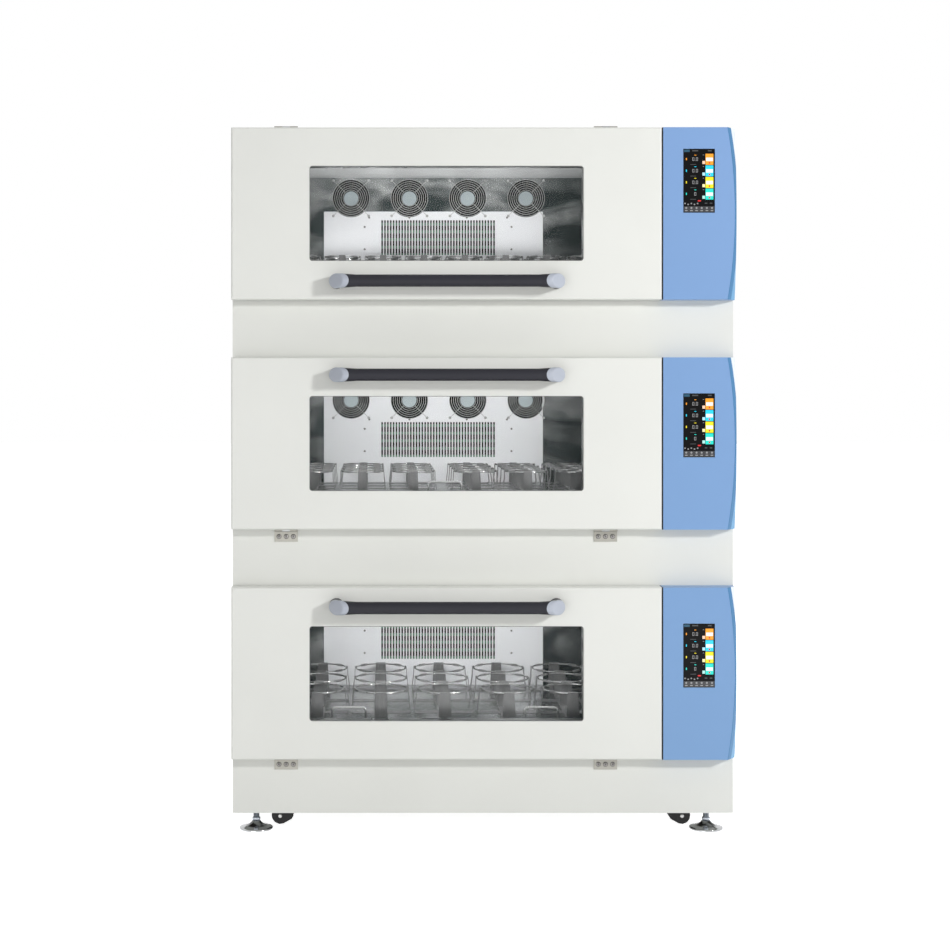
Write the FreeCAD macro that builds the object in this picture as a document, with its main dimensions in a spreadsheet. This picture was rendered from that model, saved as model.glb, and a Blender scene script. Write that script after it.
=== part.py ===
"""Stack of three incubated orbital shakers, in millimetres.

X runs to the right seen from the front, Y from the front to the rear, Z up.
The origin is on the floor, at the middle of the whole object's outline.
Each unit is a sheet steel cabinet with a stainless chamber, a flap door with a
window, a control cover beside it, and a tray of flask clamps that a crank
carries round in a small circle. The top door is hinged above, the others below.
"""
import FreeCAD, Part
import Sketcher
import math
import os
import re

UNITS = ("bottom", "middle", "top")
TOLERANCE = 1e-6

# Driving sizes, written once
DIMENSIONS = {
    # Cabinet
    "cabinet_width": 1330,
    "cabinet_depth": 760,
    "unit_height": 605,
    "base_height": 60,
    "skin": 2,
    "fascia_height": 152,
    "plinth_recess": 14,
    # Rear of each cabinet
    "louvre_width": 320,
    "louvre_height": 9,
    "louvre_proud": 6,
    "louvre_pitch": 18,
    "louvre_low": 60,
    "louvre_count": 6,
    "louvre_inset": 205,
    "inlet_width": 50,
    "inlet_height": 34,
    "inlet_proud": 5,
    "inlet_low": 70,
    "inlet_inset": 145,
    # Door
    "door_thick": 46,
    "seal_thick": 4,
    "seal_width": 12,
    "seal_margin": 6,
    "door_skin": 1.5,
    "door_round": 5,
    "cover_gap": 3,
    "window_width": 721,
    "window_margin": 101.5,
    "window_round": 8,
    "pane_thick": 5,
    "pane_inset": 3,
    "window_trim": 10,
    "fit": 0.3,
    # Handle
    "handle_length": 616,
    "handle_radius": 16,
    "handle_offset": 46,
    "handle_standoff": 60,
    "elbow_radius": 19,
    "elbow_cap": 2.5,
    # Door hinges
    "hinge_inset": 142.5,
    "hinge_width": 62,
    "hinge_tall": 31,
    "hinge_plate": 2,
    "knuckle_radius": 4.5,
    "running_gap": 0.05,
    # Control cover and touch screen
    "cover_width": 194,
    "cover_wall": 3,
    "cover_inner_margin": 32,
    "bow_depth": 19.5,
    "bow_inset": 5,
    "bevel_spread": 40,
    "screen_width": 82.5,
    "screen_height": 167.5,
    "screen_thick": 12,
    "screen_left": 53,
    "screen_drop_top": 57,
    "screen_drop_middle": 95,
    "screen_drop_bottom": 95,
    # Chamber
    "chamber_margin": 45,
    "chamber_floor": 200,
    "roof_gap": 57,
    "chamber_depth": 585,
    "liner_skin": 1.5,
    # Back wall: air return slots and the coil behind them
    "slot_count": 16,
    "slot_pitch": 21.5,
    "slot_width": 11,
    "slot_rise": 107,
    "slot_gap": 9,
    "coil_bar": 8,
    "coil_bar_gap": 6,
    "coil_pitch": 23,
    # Fans
    "fan_count": 4,
    "fan_pitch": 174.7,
    "fan_drop": 61,
    "fan_bore": 56,
    "fan_square": 120,
    "fan_deep": 38,
    "guard_radius": 56,
    "guard_wire": 2,
    "guard_proud": 8,
    "guard_eye": 10,
    "spoke_turn_degrees": 45,
    "hub_radius": 22.5,
    "blade_count": 5,
    "blade_reach": 51,
    "blade_thick": 1.5,
    "blade_root": 16,
    "blade_tip": 30,
    "rotor_inset": 4,
    "blade_pitch_degrees": 38,
    # Orbital drive
    "orbit_radius": 13,
    "shaft_radius": 12.5,
    "crank_disc_radius": 34,
    "crank_disc_thick": 8,
    "crank_rise": 6,
    "pin_height": 20,
    "crank_pin_radius": 10,
    "floor_hole_radius": 42,
    "drive_width": 180,
    "drive_height": 96,
    "bearing_radius": 30,
    "bearing_height": 80,
    "shaft_depth": 70,
    # Tray
    "tray_side_gap": 71.5,
    "tray_front_gap": 42,
    "tray_back_gap": 23,
    "tray_top": 243,
    "tray_skin": 3,
    "tray_rim": 12,
    "carrier_side_inset": 70,
    "carrier_front_inset": 60,
    "carrier_thick": 14,
    "carrier_hub_radius": 36,
    "pull_wire": 3,
    "pull_width": 96,
    "pull_height": 32,
    "pull_inset": 7,
    # Flask clamps
    "clamp_metal": 1.5,
    "large_pitch": 172,
    "large_row_pitch": 172,
    "large_foot": 82,
    "large_ring": 72,
    "large_height": 70,
    "large_leg": 36,
    "large_leg_tip": 28,
    "large_side_count": 8,
    "medium_pitch": 138.6,
    "medium_centre_gap": 168,
    "medium_row_pitch": 129,
    "medium_foot": 64,
    "medium_ring": 56,
    "medium_height": 60,
    "medium_leg": 25,
    "medium_leg_tip": 21,
    "medium_side_count": 8,
    "small_pitch": 110.7,
    "small_row_pitch": 110.7,
    "small_foot": 52,
    "small_ring": 47,
    "small_height": 38,
    "small_leg": 22,
    "small_leg_tip": 17,
    "small_side_count": 4,
    # Levelling feet
    "foot_inset": 58,
    "foot_setback": 125,
    "foot_radius": 45.5,
    "foot_disc": 8,
    "foot_cone_radius": 27,
    "foot_cone_height": 20,
    "foot_neck_radius": 11,
    "foot_nut": 12,
    "foot_nut_height": 9,
    "foot_nut_low": 35,
    "foot_stem_radius": 8,
    "foot_stem_top": 98,
    "foot_boss": 20,
    # Casters
    "caster_inset": 145,
    "caster_setback": 140,
    "caster_trail": 23,
    "wheel_radius": 24,
    "wheel_width": 20,
    "wheel_lift": 9,
    "axle_radius": 4,
    "axle_head": 5.8,
    "fork_plate": 3,
    "fork_gap": 1,
    "fork_top_radius": 22,
    "caster_plate_width": 76,
    "caster_plate_thick": 4,
    "king_radius": 6,
    # Sides of the many-sided prisms that stand for round forms
    "disc_side_count": 24,
    "round_side_count": 16,
    "pin_side_count": 12,
    "hub_side_count": 10,
    "nut_side_count": 6,
    # Passed beyond a face by every cutting tool
    "overrun": 5,
}

# Places worked out from the driving sizes
PLACES = {
    "half_width": "cabinet_width / 2",
    "front": "-(cabinet_depth + handle_standoff + handle_radius + louvre_proud) / 2",
    "door_front": "front + handle_standoff + handle_radius",
    "door_back": "door_front + door_thick",
    "frame_front": "door_back + seal_thick",
    "rear": "door_front + cabinet_depth",
    "door_width": "cabinet_width - cover_width - cover_gap",
    "door_height": "unit_height - fascia_height",
    "door_centre": "-half_width + door_width / 2",
    "window_height": "door_height - 2 * window_margin",
    "bottom_base": "base_height",
    "middle_base": "base_height + unit_height",
    "top_base": "base_height + 2 * unit_height",
    "chamber_width": "door_width - 2 * chamber_margin",
    "chamber_ceiling": "unit_height - roof_gap",
    "liner_back": "frame_front + chamber_depth",
    "liner_left": "door_centre - chamber_width / 2",
    "fan_height": "chamber_ceiling - fan_drop",
    "slot_low": "chamber_floor + slot_rise",
    "slot_height": "fan_height - fan_bore - slot_gap - slot_low",
    "louvre_offset": "half_width - louvre_inset - louvre_width / 2",
    "inlet_place": "half_width - inlet_inset",
    "cover_left": "half_width - cover_width",
    "bow_radius": "(door_height ^ 2 / 4 + bow_depth ^ 2) / (2 * bow_depth)",
    "tray_width": "chamber_width - 2 * tray_side_gap",
    "tray_depth": "chamber_depth - tray_front_gap - tray_back_gap",
    "tray_y": "frame_front + tray_front_gap + tray_depth / 2",
    "crank_y": "tray_y - orbit_radius",
    "hinge_spread": "door_width / 2 - hinge_inset",
    "hinge_axis_y": "frame_front - knuckle_radius - fit",
    "hinge_drop": "knuckle_radius + fit",
    "rotor_deep": "fan_deep - liner_skin - rotor_inset - fit",
    "foot_spread": "half_width - foot_inset",
    "caster_spread": "half_width - caster_inset",
}

doc = FreeCAD.newDocument("Shaker")
dims = doc.addObject("Spreadsheet::Sheet", "dims")
places = doc.addObject("Spreadsheet::Sheet", "places")
nodes = []


def qualified(text):
    """Puts the sheet's name before each size or place in an expression."""
    def with_sheet(match):
        word = match.group(0)
        if word in DIMENSIONS:
            return "dims." + word
        if word in PLACES:
            return "places." + word
        return word
    return re.sub(r"[a-z_]+", with_sheet, text)


def fill_sheets():
    for row, (name, value) in enumerate(DIMENSIONS.items(), start=1):
        dims.set(f"A{row}", name)
        dims.set(f"B{row}", str(value))
        dims.setAlias(f"B{row}", name)
    doc.recompute()
    for row, (name, formula) in enumerate(PLACES.items(), start=1):
        places.set(f"A{row}", name)
        places.set(f"B{row}", "=" + qualified(formula))
        places.setAlias(f"B{row}", name)
    doc.recompute()


def size(name):
    """The value of one size or place."""
    sheet = dims if name in DIMENSIONS else places
    return float(getattr(sheet, name))


def count(name):
    return round(size(name))


def bind(item, **expressions):
    for prop, text in expressions.items():
        item.setExpression(prop.replace("__", "."), qualified(text))


def set_base(item, corner):
    for axis, text in zip("xyz", corner):
        item.setExpression("Placement.Base." + axis, qualified(text))


def block(name, corner, extent):
    """A box from its low corner, bound to the sheets."""
    item = doc.addObject("Part::Box", name)
    bind(item, Length=extent[0], Width=extent[1], Height=extent[2])
    set_base(item, corner)
    return item


TURNS = {
    "X": FreeCAD.Rotation(FreeCAD.Vector(0, 1, 0), 90),
    "Y": FreeCAD.Rotation(FreeCAD.Vector(1, 0, 0), -90),
    "Z": FreeCAD.Rotation(),
}


def rod(name, start, radius, length, axis="Z"):
    """A round bar from the middle of its first end."""
    item = doc.addObject("Part::Cylinder", name)
    item.Placement = FreeCAD.Placement(FreeCAD.Vector(), TURNS[axis])
    bind(item, Radius=radius, Height=length)
    set_base(item, start)
    return item


def prism(name, start, radius, length, sides="pin_side_count", axis="Z"):
    """A many-sided bar, its corners on the radius."""
    item = doc.addObject("Part::Prism", name)
    item.Placement = FreeCAD.Placement(FreeCAD.Vector(), TURNS[axis])
    item.Polygon = count(sides)
    bind(item, Circumradius=radius, Height=length)
    set_base(item, start)
    return item


def cone(name, start, low_radius, high_radius, length, axis="Z"):
    item = doc.addObject("Part::Cone", name)
    item.Placement = FreeCAD.Placement(FreeCAD.Vector(), TURNS[axis])
    bind(item, Radius1=low_radius, Radius2=high_radius, Height=length)
    set_base(item, start)
    return item


def cut(name, base, tool):
    item = doc.addObject("Part::Cut", name)
    item.Base = base
    item.Tool = tool
    return item


def common(name, base, tool):
    item = doc.addObject("Part::Common", name)
    item.Base = base
    item.Tool = tool
    return item


def fuse(name, members):
    item = doc.addObject("Part::MultiFuse", name)
    item.Shapes = members
    return item


def group(name, members):
    """Separate solids kept in one node."""
    item = doc.addObject("Part::Compound", name)
    item.Links = members
    return item


def solids(name, shapes):
    """A feature that holds solids made from the sheet's values."""
    item = doc.addObject("Part::Feature", name)
    item.Shape = Part.makeCompound(shapes)
    return item


def node(item, label):
    item.Label = label
    nodes.append(item)
    return item


def rectangle(body, name, plane_role, low_x, high_x, low_y, high_y):
    """A sketch of one rectangle on an origin plane, its sides bound to the sheets."""
    sketch = body.newObject("Sketcher::SketchObject", name)
    plane = [item for item in body.Origin.OriginFeatures if item.Role == plane_role][0]
    sketch.AttachmentSupport = [(plane, "")]
    sketch.MapMode = "FlatFace"
    corners = ((low_x, low_y), (high_x, low_y), (high_x, high_y), (low_x, high_y))
    for index in range(4):
        start = FreeCAD.Vector(math.cos(math.tau * index / 4), math.sin(math.tau * index / 4), 0)
        end_turn = math.tau * (index + 1) / 4
        end = FreeCAD.Vector(math.cos(end_turn), math.sin(end_turn), 0)
        sketch.addGeometry(Part.LineSegment(start, end), False)
    for index in range(4):
        sketch.addConstraint(Sketcher.Constraint("Coincident", index, 2, (index + 1) % 4, 1))
    for index, (text_x, text_y) in enumerate(corners):
        for kind, text in (("DistanceX", text_x), ("DistanceY", text_y)):
            number = sketch.addConstraint(Sketcher.Constraint(kind, -1, 1, index, 1, 1))
            sketch.setExpression(f"Constraints[{number}]", qualified(text))
    return sketch


def edges_along(shape, axis, test=None):
    """Names of the straight edges along one axis whose middle passes a test."""
    found = []
    for index, edge in enumerate(shape.Edges, start=1):
        if edge.Curve.TypeId != "Part::GeomLine":
            continue
        if not edge.tangentAt(edge.FirstParameter).cross(axis).isEqual(FreeCAD.Vector(), TOLERANCE):
            continue
        if test is None or test(edge.CenterOfMass):
            found.append(f"Edge{index}")
    return found


AXIS_X = FreeCAD.Vector(1, 0, 0)
AXIS_Y = FreeCAD.Vector(0, 1, 0)
AXIS_Z = FreeCAD.Vector(0, 0, 1)


def closed_face(points):
    return Part.Face(Part.makePolygon(points + points[:1]))


def ring_points(centre, radius, sides, normal, turn=0):
    """Corners of a regular polygon about a centre, square to Y or to Z."""
    points = []
    for index in range(sides):
        angle = turn + math.tau * index / sides
        across = radius * math.cos(angle)
        up = radius * math.sin(angle)
        if normal == "Y":
            points.append(centre + FreeCAD.Vector(across, 0, up))
        else:
            points.append(centre + FreeCAD.Vector(across, up, 0))
    return points


def frustum(low, high):
    """A solid between two rings with as many corners, its sides flat."""
    faces = [closed_face(low), closed_face(high)]
    for index in range(len(low)):
        following = (index + 1) % len(low)
        faces.append(closed_face([low[index], low[following], high[following], high[index]]))
    shell = Part.makeShell(faces)
    shell.sewShape()
    return Part.makeSolid(shell)


def cabinet(unit):
    """Panels of one painted steel cabinet, open in front round the chamber."""
    base = f"{unit}_base"
    depth = "rear - frame_front"
    right_of_liner = "liner_left + chamber_width"
    parts = [
        block("side_left", ("-half_width", "frame_front", base), ("skin", depth, "unit_height")),
        block("side_right", ("half_width - skin", "frame_front", base), ("skin", depth, "unit_height")),
        block("roof", ("-half_width + skin", "frame_front + skin", f"{base} + unit_height - skin"),
              ("cabinet_width - 2 * skin", f"{depth} - 2 * skin", "skin")),
        cabinet_floor(unit),
        block("rear_panel", ("-half_width + skin", "rear - skin", base),
              ("cabinet_width - 2 * skin", "skin", "unit_height")),
        block("fascia", ("-half_width + skin", "frame_front", base),
              ("cabinet_width - 2 * skin", "skin", "chamber_floor")),
        block("top_rail", ("-half_width + skin", "frame_front", f"{base} + chamber_ceiling"),
              ("cabinet_width - 2 * skin", "skin", "unit_height - chamber_ceiling")),
        block("left_stile", ("-half_width + skin", "frame_front", f"{base} + chamber_floor"),
              ("liner_left + half_width - skin", "skin", "chamber_ceiling - chamber_floor")),
        block("control_panel", (right_of_liner, "frame_front", f"{base} + chamber_floor"),
              (f"half_width - skin - ({right_of_liner})", "skin", "chamber_ceiling - chamber_floor")),
        solids("louvres", louvres(size(base))),
        power_inlet(base),
    ]
    if unit == "bottom":
        parts += base_fittings()
    node(group(f"cabinet_{unit}", parts), f"cabinet_{unit}")


def cabinet_floor(unit):
    """Floor panel; the lowest one is bored for the stems of the feet."""
    sheet = block("floor", ("-half_width + skin", "frame_front + skin", f"{unit}_base + plinth_recess"),
                  ("cabinet_width - 2 * skin", "rear - frame_front - 2 * skin", "skin"))
    if unit != "bottom":
        return sheet
    holes = []
    for x_text, y_text in corner_places("foot_spread", "foot_setback"):
        holes.append(prism("stem_hole", (x_text, y_text, f"{unit}_base + plinth_recess - overrun"),
                           "foot_stem_radius + fit", "skin + 2 * overrun"))
    return cut("floor_bored", sheet, group("stem_holes", holes))


def power_inlet(base):
    """Recessed mains inlet on the rear panel."""
    body = block("inlet_body", ("inlet_place - inlet_width / 2", "rear", f"{base} + inlet_low"),
                 ("inlet_width", "inlet_proud", "inlet_height"))
    recess = block("inlet_recess", ("inlet_place - inlet_width / 2 + skin", "rear + skin",
                                    f"{base} + inlet_low + skin"),
                   ("inlet_width - 2 * skin", "inlet_proud", "inlet_height - 2 * skin"))
    return cut("inlet", body, recess)


def louvres(base):
    """Pressed vent slats, open below, in two banks on the rear panel."""
    shapes = []
    for side in (-1, 1):
        left = side * size("louvre_offset") - size("louvre_width") / 2
        for index in range(count("louvre_count")):
            low = base + size("louvre_low") + index * size("louvre_pitch")
            profile = closed_face([
                FreeCAD.Vector(left, size("rear"), low),
                FreeCAD.Vector(left, size("rear") + size("louvre_proud"), low),
                FreeCAD.Vector(left, size("rear"), low + size("louvre_height")),
            ])
            shapes.append(profile.extrude(FreeCAD.Vector(size("louvre_width"), 0, 0)))
    return shapes


def corner_places(spread, setback):
    """The four places under the base, left front first, as expressions."""
    found = []
    for y_text in (f"door_front + {setback}", f"rear - {setback}"):
        for sign in ("-", ""):
            found.append((f"{sign}{spread}", y_text))
    return found


def base_fittings():
    """Threaded bosses for the feet and plates for the casters, under the floor."""
    parts = []
    under = "base_height + plinth_recess"
    for x_text, y_text in corner_places("foot_spread", "foot_setback"):
        boss = block("foot_boss_block", (f"{x_text} - foot_boss", f"{y_text} - foot_boss", "base_height"),
                     ("2 * foot_boss", "2 * foot_boss", "plinth_recess"))
        bore = prism("foot_bore", (x_text, y_text, "base_height - overrun"),
                     "foot_stem_radius + fit", "plinth_recess + 2 * overrun")
        parts.append(cut("foot_boss_bored", boss, bore))
    for x_text, y_text in corner_places("caster_spread", "caster_setback"):
        corner = (f"{x_text} - caster_plate_width / 2", f"{y_text} - caster_plate_width / 2",
                  f"{under} - caster_plate_thick")
        plate = block("caster_plate", corner,
                      ("caster_plate_width", "caster_plate_width", "caster_plate_thick"))
        hole = rod("king_hole", (x_text, y_text, f"{under} - caster_plate_thick - overrun"),
                   "king_radius + running_gap", "caster_plate_thick + 2 * overrun")
        parts.append(cut("caster_plate_bored", plate, hole))
    return parts


def chamber(unit):
    """Stainless liner: floor with the crank hole, two sides and a ceiling."""
    base = f"{unit}_base"
    start = "frame_front + skin"
    depth = "chamber_depth - skin - liner_skin"
    floor_sheet = block("liner_floor", ("liner_left", start, f"{base} + chamber_floor - liner_skin"),
                        ("chamber_width", depth, "liner_skin"))
    hole = prism("crank_hole", ("door_centre", "crank_y", f"{base} + chamber_floor - overrun"),
                 "floor_hole_radius", "2 * overrun", "round_side_count")
    height = "chamber_ceiling - chamber_floor"
    parts = [
        cut("liner_floor_bored", floor_sheet, hole),
        block("liner_ceiling", ("liner_left", start, f"{base} + chamber_ceiling"),
              ("chamber_width", depth, "liner_skin")),
        block("liner_side_left", ("liner_left - liner_skin", start, f"{base} + chamber_floor"),
              ("liner_skin", depth, height)),
        block("liner_side_right", ("liner_left + chamber_width", start, f"{base} + chamber_floor"),
              ("liner_skin", depth, height)),
    ]
    node(group(f"chamber_{unit}", parts), f"chamber_{unit}")


def back_walls():
    """Three rear sheets of the chambers, punched for the fans and the air return."""
    shapes = []
    front = size("liner_back") - size("liner_skin")
    start = front - size("overrun")
    through = FreeCAD.Vector(0, size("liner_skin") + 2 * size("overrun"), 0)
    slots = count("slot_count")
    for unit in UNITS:
        base = size(f"{unit}_base")
        sheet = Part.makeBox(
            size("chamber_width"), size("liner_skin"), size("chamber_ceiling") - size("chamber_floor"),
            FreeCAD.Vector(size("liner_left"), front, base + size("chamber_floor")))
        tools = []
        for centre in fan_centres():
            middle = FreeCAD.Vector(centre, start, base + size("fan_height"))
            tools.append(closed_face(ring_points(middle, size("fan_bore"), count("pin_side_count"), "Y"))
                         .extrude(through))
        for index in range(slots):
            middle = size("door_centre") + (index - (slots - 1) / 2) * size("slot_pitch")
            corner = FreeCAD.Vector(middle - size("slot_width") / 2, start, base + size("slot_low"))
            tools.append(Part.makeBox(size("slot_width"), through.y, size("slot_height"), corner))
        shapes.append(sheet.cut(tools).Solids[0])
    node(solids("back_walls", shapes), "back_walls")


def heater_coils():
    """Bars of the air coil behind the return slots, with an end plate each side."""
    shapes = []
    bars = max(1, round(size("slot_height") / size("coil_pitch")))
    span = size("slot_count") * size("slot_pitch")
    left = size("door_centre") - span / 2
    start = size("liner_back") + size("coil_bar_gap")
    tall = (bars - 1) * size("coil_pitch") + size("coil_bar")
    for unit in UNITS:
        low = size(f"{unit}_base") + size("slot_low") + (size("slot_height") - tall) / 2
        for index in range(bars):
            corner = FreeCAD.Vector(left, start, low + index * size("coil_pitch"))
            shapes.append(Part.makeBox(span, size("coil_bar"), size("coil_bar"), corner))
        for edge in (left - size("skin"), left + span):
            corner = FreeCAD.Vector(edge, size("liner_back"), low)
            shapes.append(Part.makeBox(size("skin"), size("coil_bar_gap") + size("coil_bar"), tall, corner))
    node(solids("heater_coils", shapes), "heater_coils")


def fan_centres():
    """X of the fans of a unit, left to right."""
    fans = count("fan_count")
    return [size("door_centre") + (index - (fans - 1) / 2) * size("fan_pitch") for index in range(fans)]


def fan_housings():
    """Square fan bodies behind the wall, closed at the rear by their motor plate."""
    shapes = []
    half = size("fan_square") / 2
    for unit in UNITS:
        middle = size(f"{unit}_base") + size("fan_height")
        for centre in fan_centres():
            corner = FreeCAD.Vector(centre - half, size("liner_back"), middle - half)
            body = Part.makeBox(size("fan_square"), size("fan_deep"), size("fan_square"), corner)
            start = FreeCAD.Vector(centre, size("liner_back") - size("overrun"), middle)
            bore = closed_face(ring_points(start, size("fan_bore"), count("pin_side_count"), "Y")).extrude(
                FreeCAD.Vector(0, size("fan_deep") - size("liner_skin") + size("overrun"), 0))
            shapes.append(body.cut(bore))
    node(solids("fan_housings", shapes), "fan_housings")


def guard_spokes(front):
    """Crossed bars behind the ring of a guard, out to the screw eyes."""
    wire = size("guard_wire")
    reach = size("fan_square") / math.sqrt(2) - size("guard_eye")
    deep = size("guard_proud") - wire
    bars = []
    for turn in (size("spoke_turn_degrees"), -size("spoke_turn_degrees")):
        bar = Part.makeBox(2 * reach, deep, wire, FreeCAD.Vector(-reach, wire, -wire / 2))
        bar.Placement = FreeCAD.Placement(front, FreeCAD.Rotation(AXIS_Y, turn)).multiply(bar.Placement)
        bars.append(bar)
    return bars[0].fuse(bars[1]).removeSplitter().Solids[0]


def fan_guards():
    """Wire guards in front of the fans: an outer ring on crossed spokes."""
    shapes = []
    wire = size("guard_wire")
    front_y = size("liner_back") - size("liner_skin") - size("guard_proud")
    sides = count("pin_side_count")
    for unit in UNITS:
        for centre in fan_centres():
            front = FreeCAD.Vector(centre, front_y, size(f"{unit}_base") + size("fan_height"))
            outer = closed_face(ring_points(front, size("guard_radius"), sides, "Y"))
            inner = closed_face(ring_points(front, size("guard_radius") - wire, sides, "Y"))
            shapes.append(outer.cut(inner).Faces[0].extrude(FreeCAD.Vector(0, wire, 0)))
            shapes.append(guard_spokes(front))
    node(solids("fan_guards", shapes), "fan_guards")


def fan_rotor(unit, number):
    """Hub with pitched blades that widen outwards, turning about Y inside its housing."""
    centre = FreeCAD.Vector(fan_centres()[number - 1], size("liner_back") + size("rotor_inset"),
                            size(f"{unit}_base") + size("fan_height"))
    sides = count("hub_side_count")
    half_side = math.pi / sides
    hub = closed_face(ring_points(centre, size("hub_radius"), sides, "Y", half_side)).extrude(
        FreeCAD.Vector(0, size("rotor_deep"), 0))
    start = size("hub_radius") / 2
    reach = size("blade_reach")
    low = -size("blade_thick") / 2
    corners = [FreeCAD.Vector(x, low, z) for x, z in (
        (start, -size("blade_root") / 2), (reach, -size("blade_tip") / 2),
        (reach, size("blade_tip") / 2), (start, size("blade_root") / 2))]
    blades = []
    for index in range(count("blade_count")):
        blade = closed_face(corners).extrude(FreeCAD.Vector(0, size("blade_thick"), 0))
        blade.rotate(FreeCAD.Vector(), AXIS_X, size("blade_pitch_degrees"))
        blade.rotate(FreeCAD.Vector(), AXIS_Y, math.degrees(math.tau * index / count("blade_count")))
        blade.translate(centre + FreeCAD.Vector(0, size("rotor_deep") / 2, 0))
        blades.append(blade)
    label = f"fan_rotor_{unit}_{number}"
    node(solids(label, [hub.fuse(blades).removeSplitter().Solids[0]]), label)


def door_shell(unit):
    """Painted steel pan of the door, rounded in front, with the window cut out."""
    base = f"{unit}_base"
    label = f"door_shell_{unit}"
    body = doc.addObject("PartDesign::Body", label)
    low_x = "-half_width"
    high_x = "-half_width + door_width"
    low_z = f"{base} + fascia_height"
    high_z = f"{base} + unit_height"
    outline = rectangle(body, f"{label}_outline", "XZ_Plane", low_x, high_x, low_z, high_z)
    outline.setExpression("AttachmentOffset.Base.z", qualified("-door_front"))
    pad = body.newObject("PartDesign::Pad", f"{label}_pad")
    pad.Profile = outline
    pad.Reversed = True
    bind(pad, Length="door_thick")
    doc.recompute()
    front_y = size("door_front")
    names = edges_along(pad.Shape, AXIS_X, lambda point: abs(point.y - front_y) < TOLERANCE)
    names += edges_along(pad.Shape, AXIS_Z, lambda point: abs(point.y - front_y) < TOLERANCE)
    fillet = body.newObject("PartDesign::Fillet", f"{label}_round")
    fillet.Base = (pad, names)
    bind(fillet, Radius="door_round")
    doc.recompute()
    hollow = rectangle(body, f"{label}_hollow", "XZ_Plane", f"{low_x} + door_skin", f"{high_x} - door_skin",
                       f"{low_z} + door_skin", f"{high_z} - door_skin")
    hollow.setExpression("AttachmentOffset.Base.z", qualified("-door_back"))
    pocket = body.newObject("PartDesign::Pocket", f"{label}_pocket")
    pocket.Profile = hollow
    pocket.Reversed = True
    bind(pocket, Length="door_thick - door_round")
    window = rectangle(body, f"{label}_window", "XZ_Plane",
                       "door_centre - window_width / 2", "door_centre + window_width / 2",
                       f"{low_z} + window_margin", f"{high_z} - window_margin")
    window.setExpression("AttachmentOffset.Base.z", qualified("-door_back"))
    opening = body.newObject("PartDesign::Pocket", f"{label}_opening")
    opening.Profile = window
    opening.Reversed = True
    bind(opening, Length="door_thick + overrun")
    doc.recompute()
    half = size("window_width") / 2 + size("overrun")
    corners = edges_along(opening.Shape, AXIS_Y, lambda point: abs(point.x - size("door_centre")) < half)
    rounding = body.newObject("PartDesign::Fillet", f"{label}_window_round")
    rounding.Base = (opening, corners)
    bind(rounding, Radius="window_round")
    body.Tip = rounding
    node(body, label)


def door_liner(unit):
    """Stainless inner sheet, the tunnel round the window and the moving hinge leaves."""
    base = f"{unit}_base"
    low_z = f"{base} + fascia_height"
    outer_x = "door_centre - window_width / 2 - window_trim"
    outer_wide = "window_width + 2 * window_trim"
    outer_z = f"{low_z} + window_margin - window_trim"
    outer_tall = "window_height + 2 * window_trim"
    edge = "(door_skin + fit)"
    sheet = block("inner_sheet", (f"-half_width + {edge}", "door_back - door_skin", f"{low_z} + {edge}"),
                  (f"door_width - 2 * {edge}", "door_skin", f"door_height - 2 * {edge}"))
    tunnel = block("window_tunnel", (outer_x, "door_front + door_round + fit", outer_z),
                   (outer_wide, "door_thick - door_round - fit", outer_tall))
    tunnel_hole = block("window_hole", ("door_centre - window_width / 2", "door_front - overrun",
                                        f"{low_z} + window_margin"),
                        ("window_width", "door_thick + 2 * overrun", "window_height"))
    joined = fuse("liner_blank", [sheet, tunnel])
    parts = [cut("liner_holed", joined, tunnel_hole)]
    parts += moving_leaves(unit)
    node(group(f"door_liner_{unit}", parts), f"door_liner_{unit}")


def hinge_height(unit):
    """Z of the hinge axis: above the top door, below the others."""
    if unit == "top":
        return f"{unit}_base + unit_height + hinge_drop"
    return f"{unit}_base + fascia_height - hinge_drop"


def moving_leaves(unit):
    """Middle knuckle and its leaf, screwed to the back of the door."""
    parts = []
    wide = "hinge_width / 3 - 2 * fit"
    height = hinge_height(unit)
    low = f"{height} - hinge_tall" if unit == "top" else height
    for sign in ("-", "+"):
        left = f"door_centre {sign} hinge_spread - hinge_width / 6 + fit"
        knuckle = rod("door_knuckle", (left, "hinge_axis_y", height), "knuckle_radius", wide, "X")
        leaf = block("door_leaf", (left, "door_back", low), (wide, "hinge_plate", "hinge_tall"))
        parts.append(fuse("moving_leaf", [knuckle, leaf]))
    return parts


def door_window(unit):
    """Two panes of toughened glass, one at each face of the door, their corners cut off."""
    half_wide = size("window_width") / 2 - size("fit")
    half_tall = size("window_height") / 2 - size("fit")
    corner = size("window_round")
    middle_z = size(f"{unit}_base") + size("fascia_height") + size("door_height") / 2
    shapes = []
    for face in (size("door_front") + size("pane_inset"),
                 size("door_back") - size("pane_inset") - size("pane_thick")):
        points = []
        for side_x, side_z in ((1, 1), (-1, 1), (-1, -1), (1, -1)):
            ends = [(side_x * half_wide, side_z * (half_tall - corner)),
                    (side_x * (half_wide - corner), side_z * half_tall)]
            if side_x != side_z:
                ends.reverse()
            points += [FreeCAD.Vector(size("door_centre") + x, face, middle_z + z) for x, z in ends]
        shapes.append(closed_face(points).extrude(FreeCAD.Vector(0, size("pane_thick"), 0)))
    node(solids(f"door_window_{unit}", shapes), f"door_window_{unit}")


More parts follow.
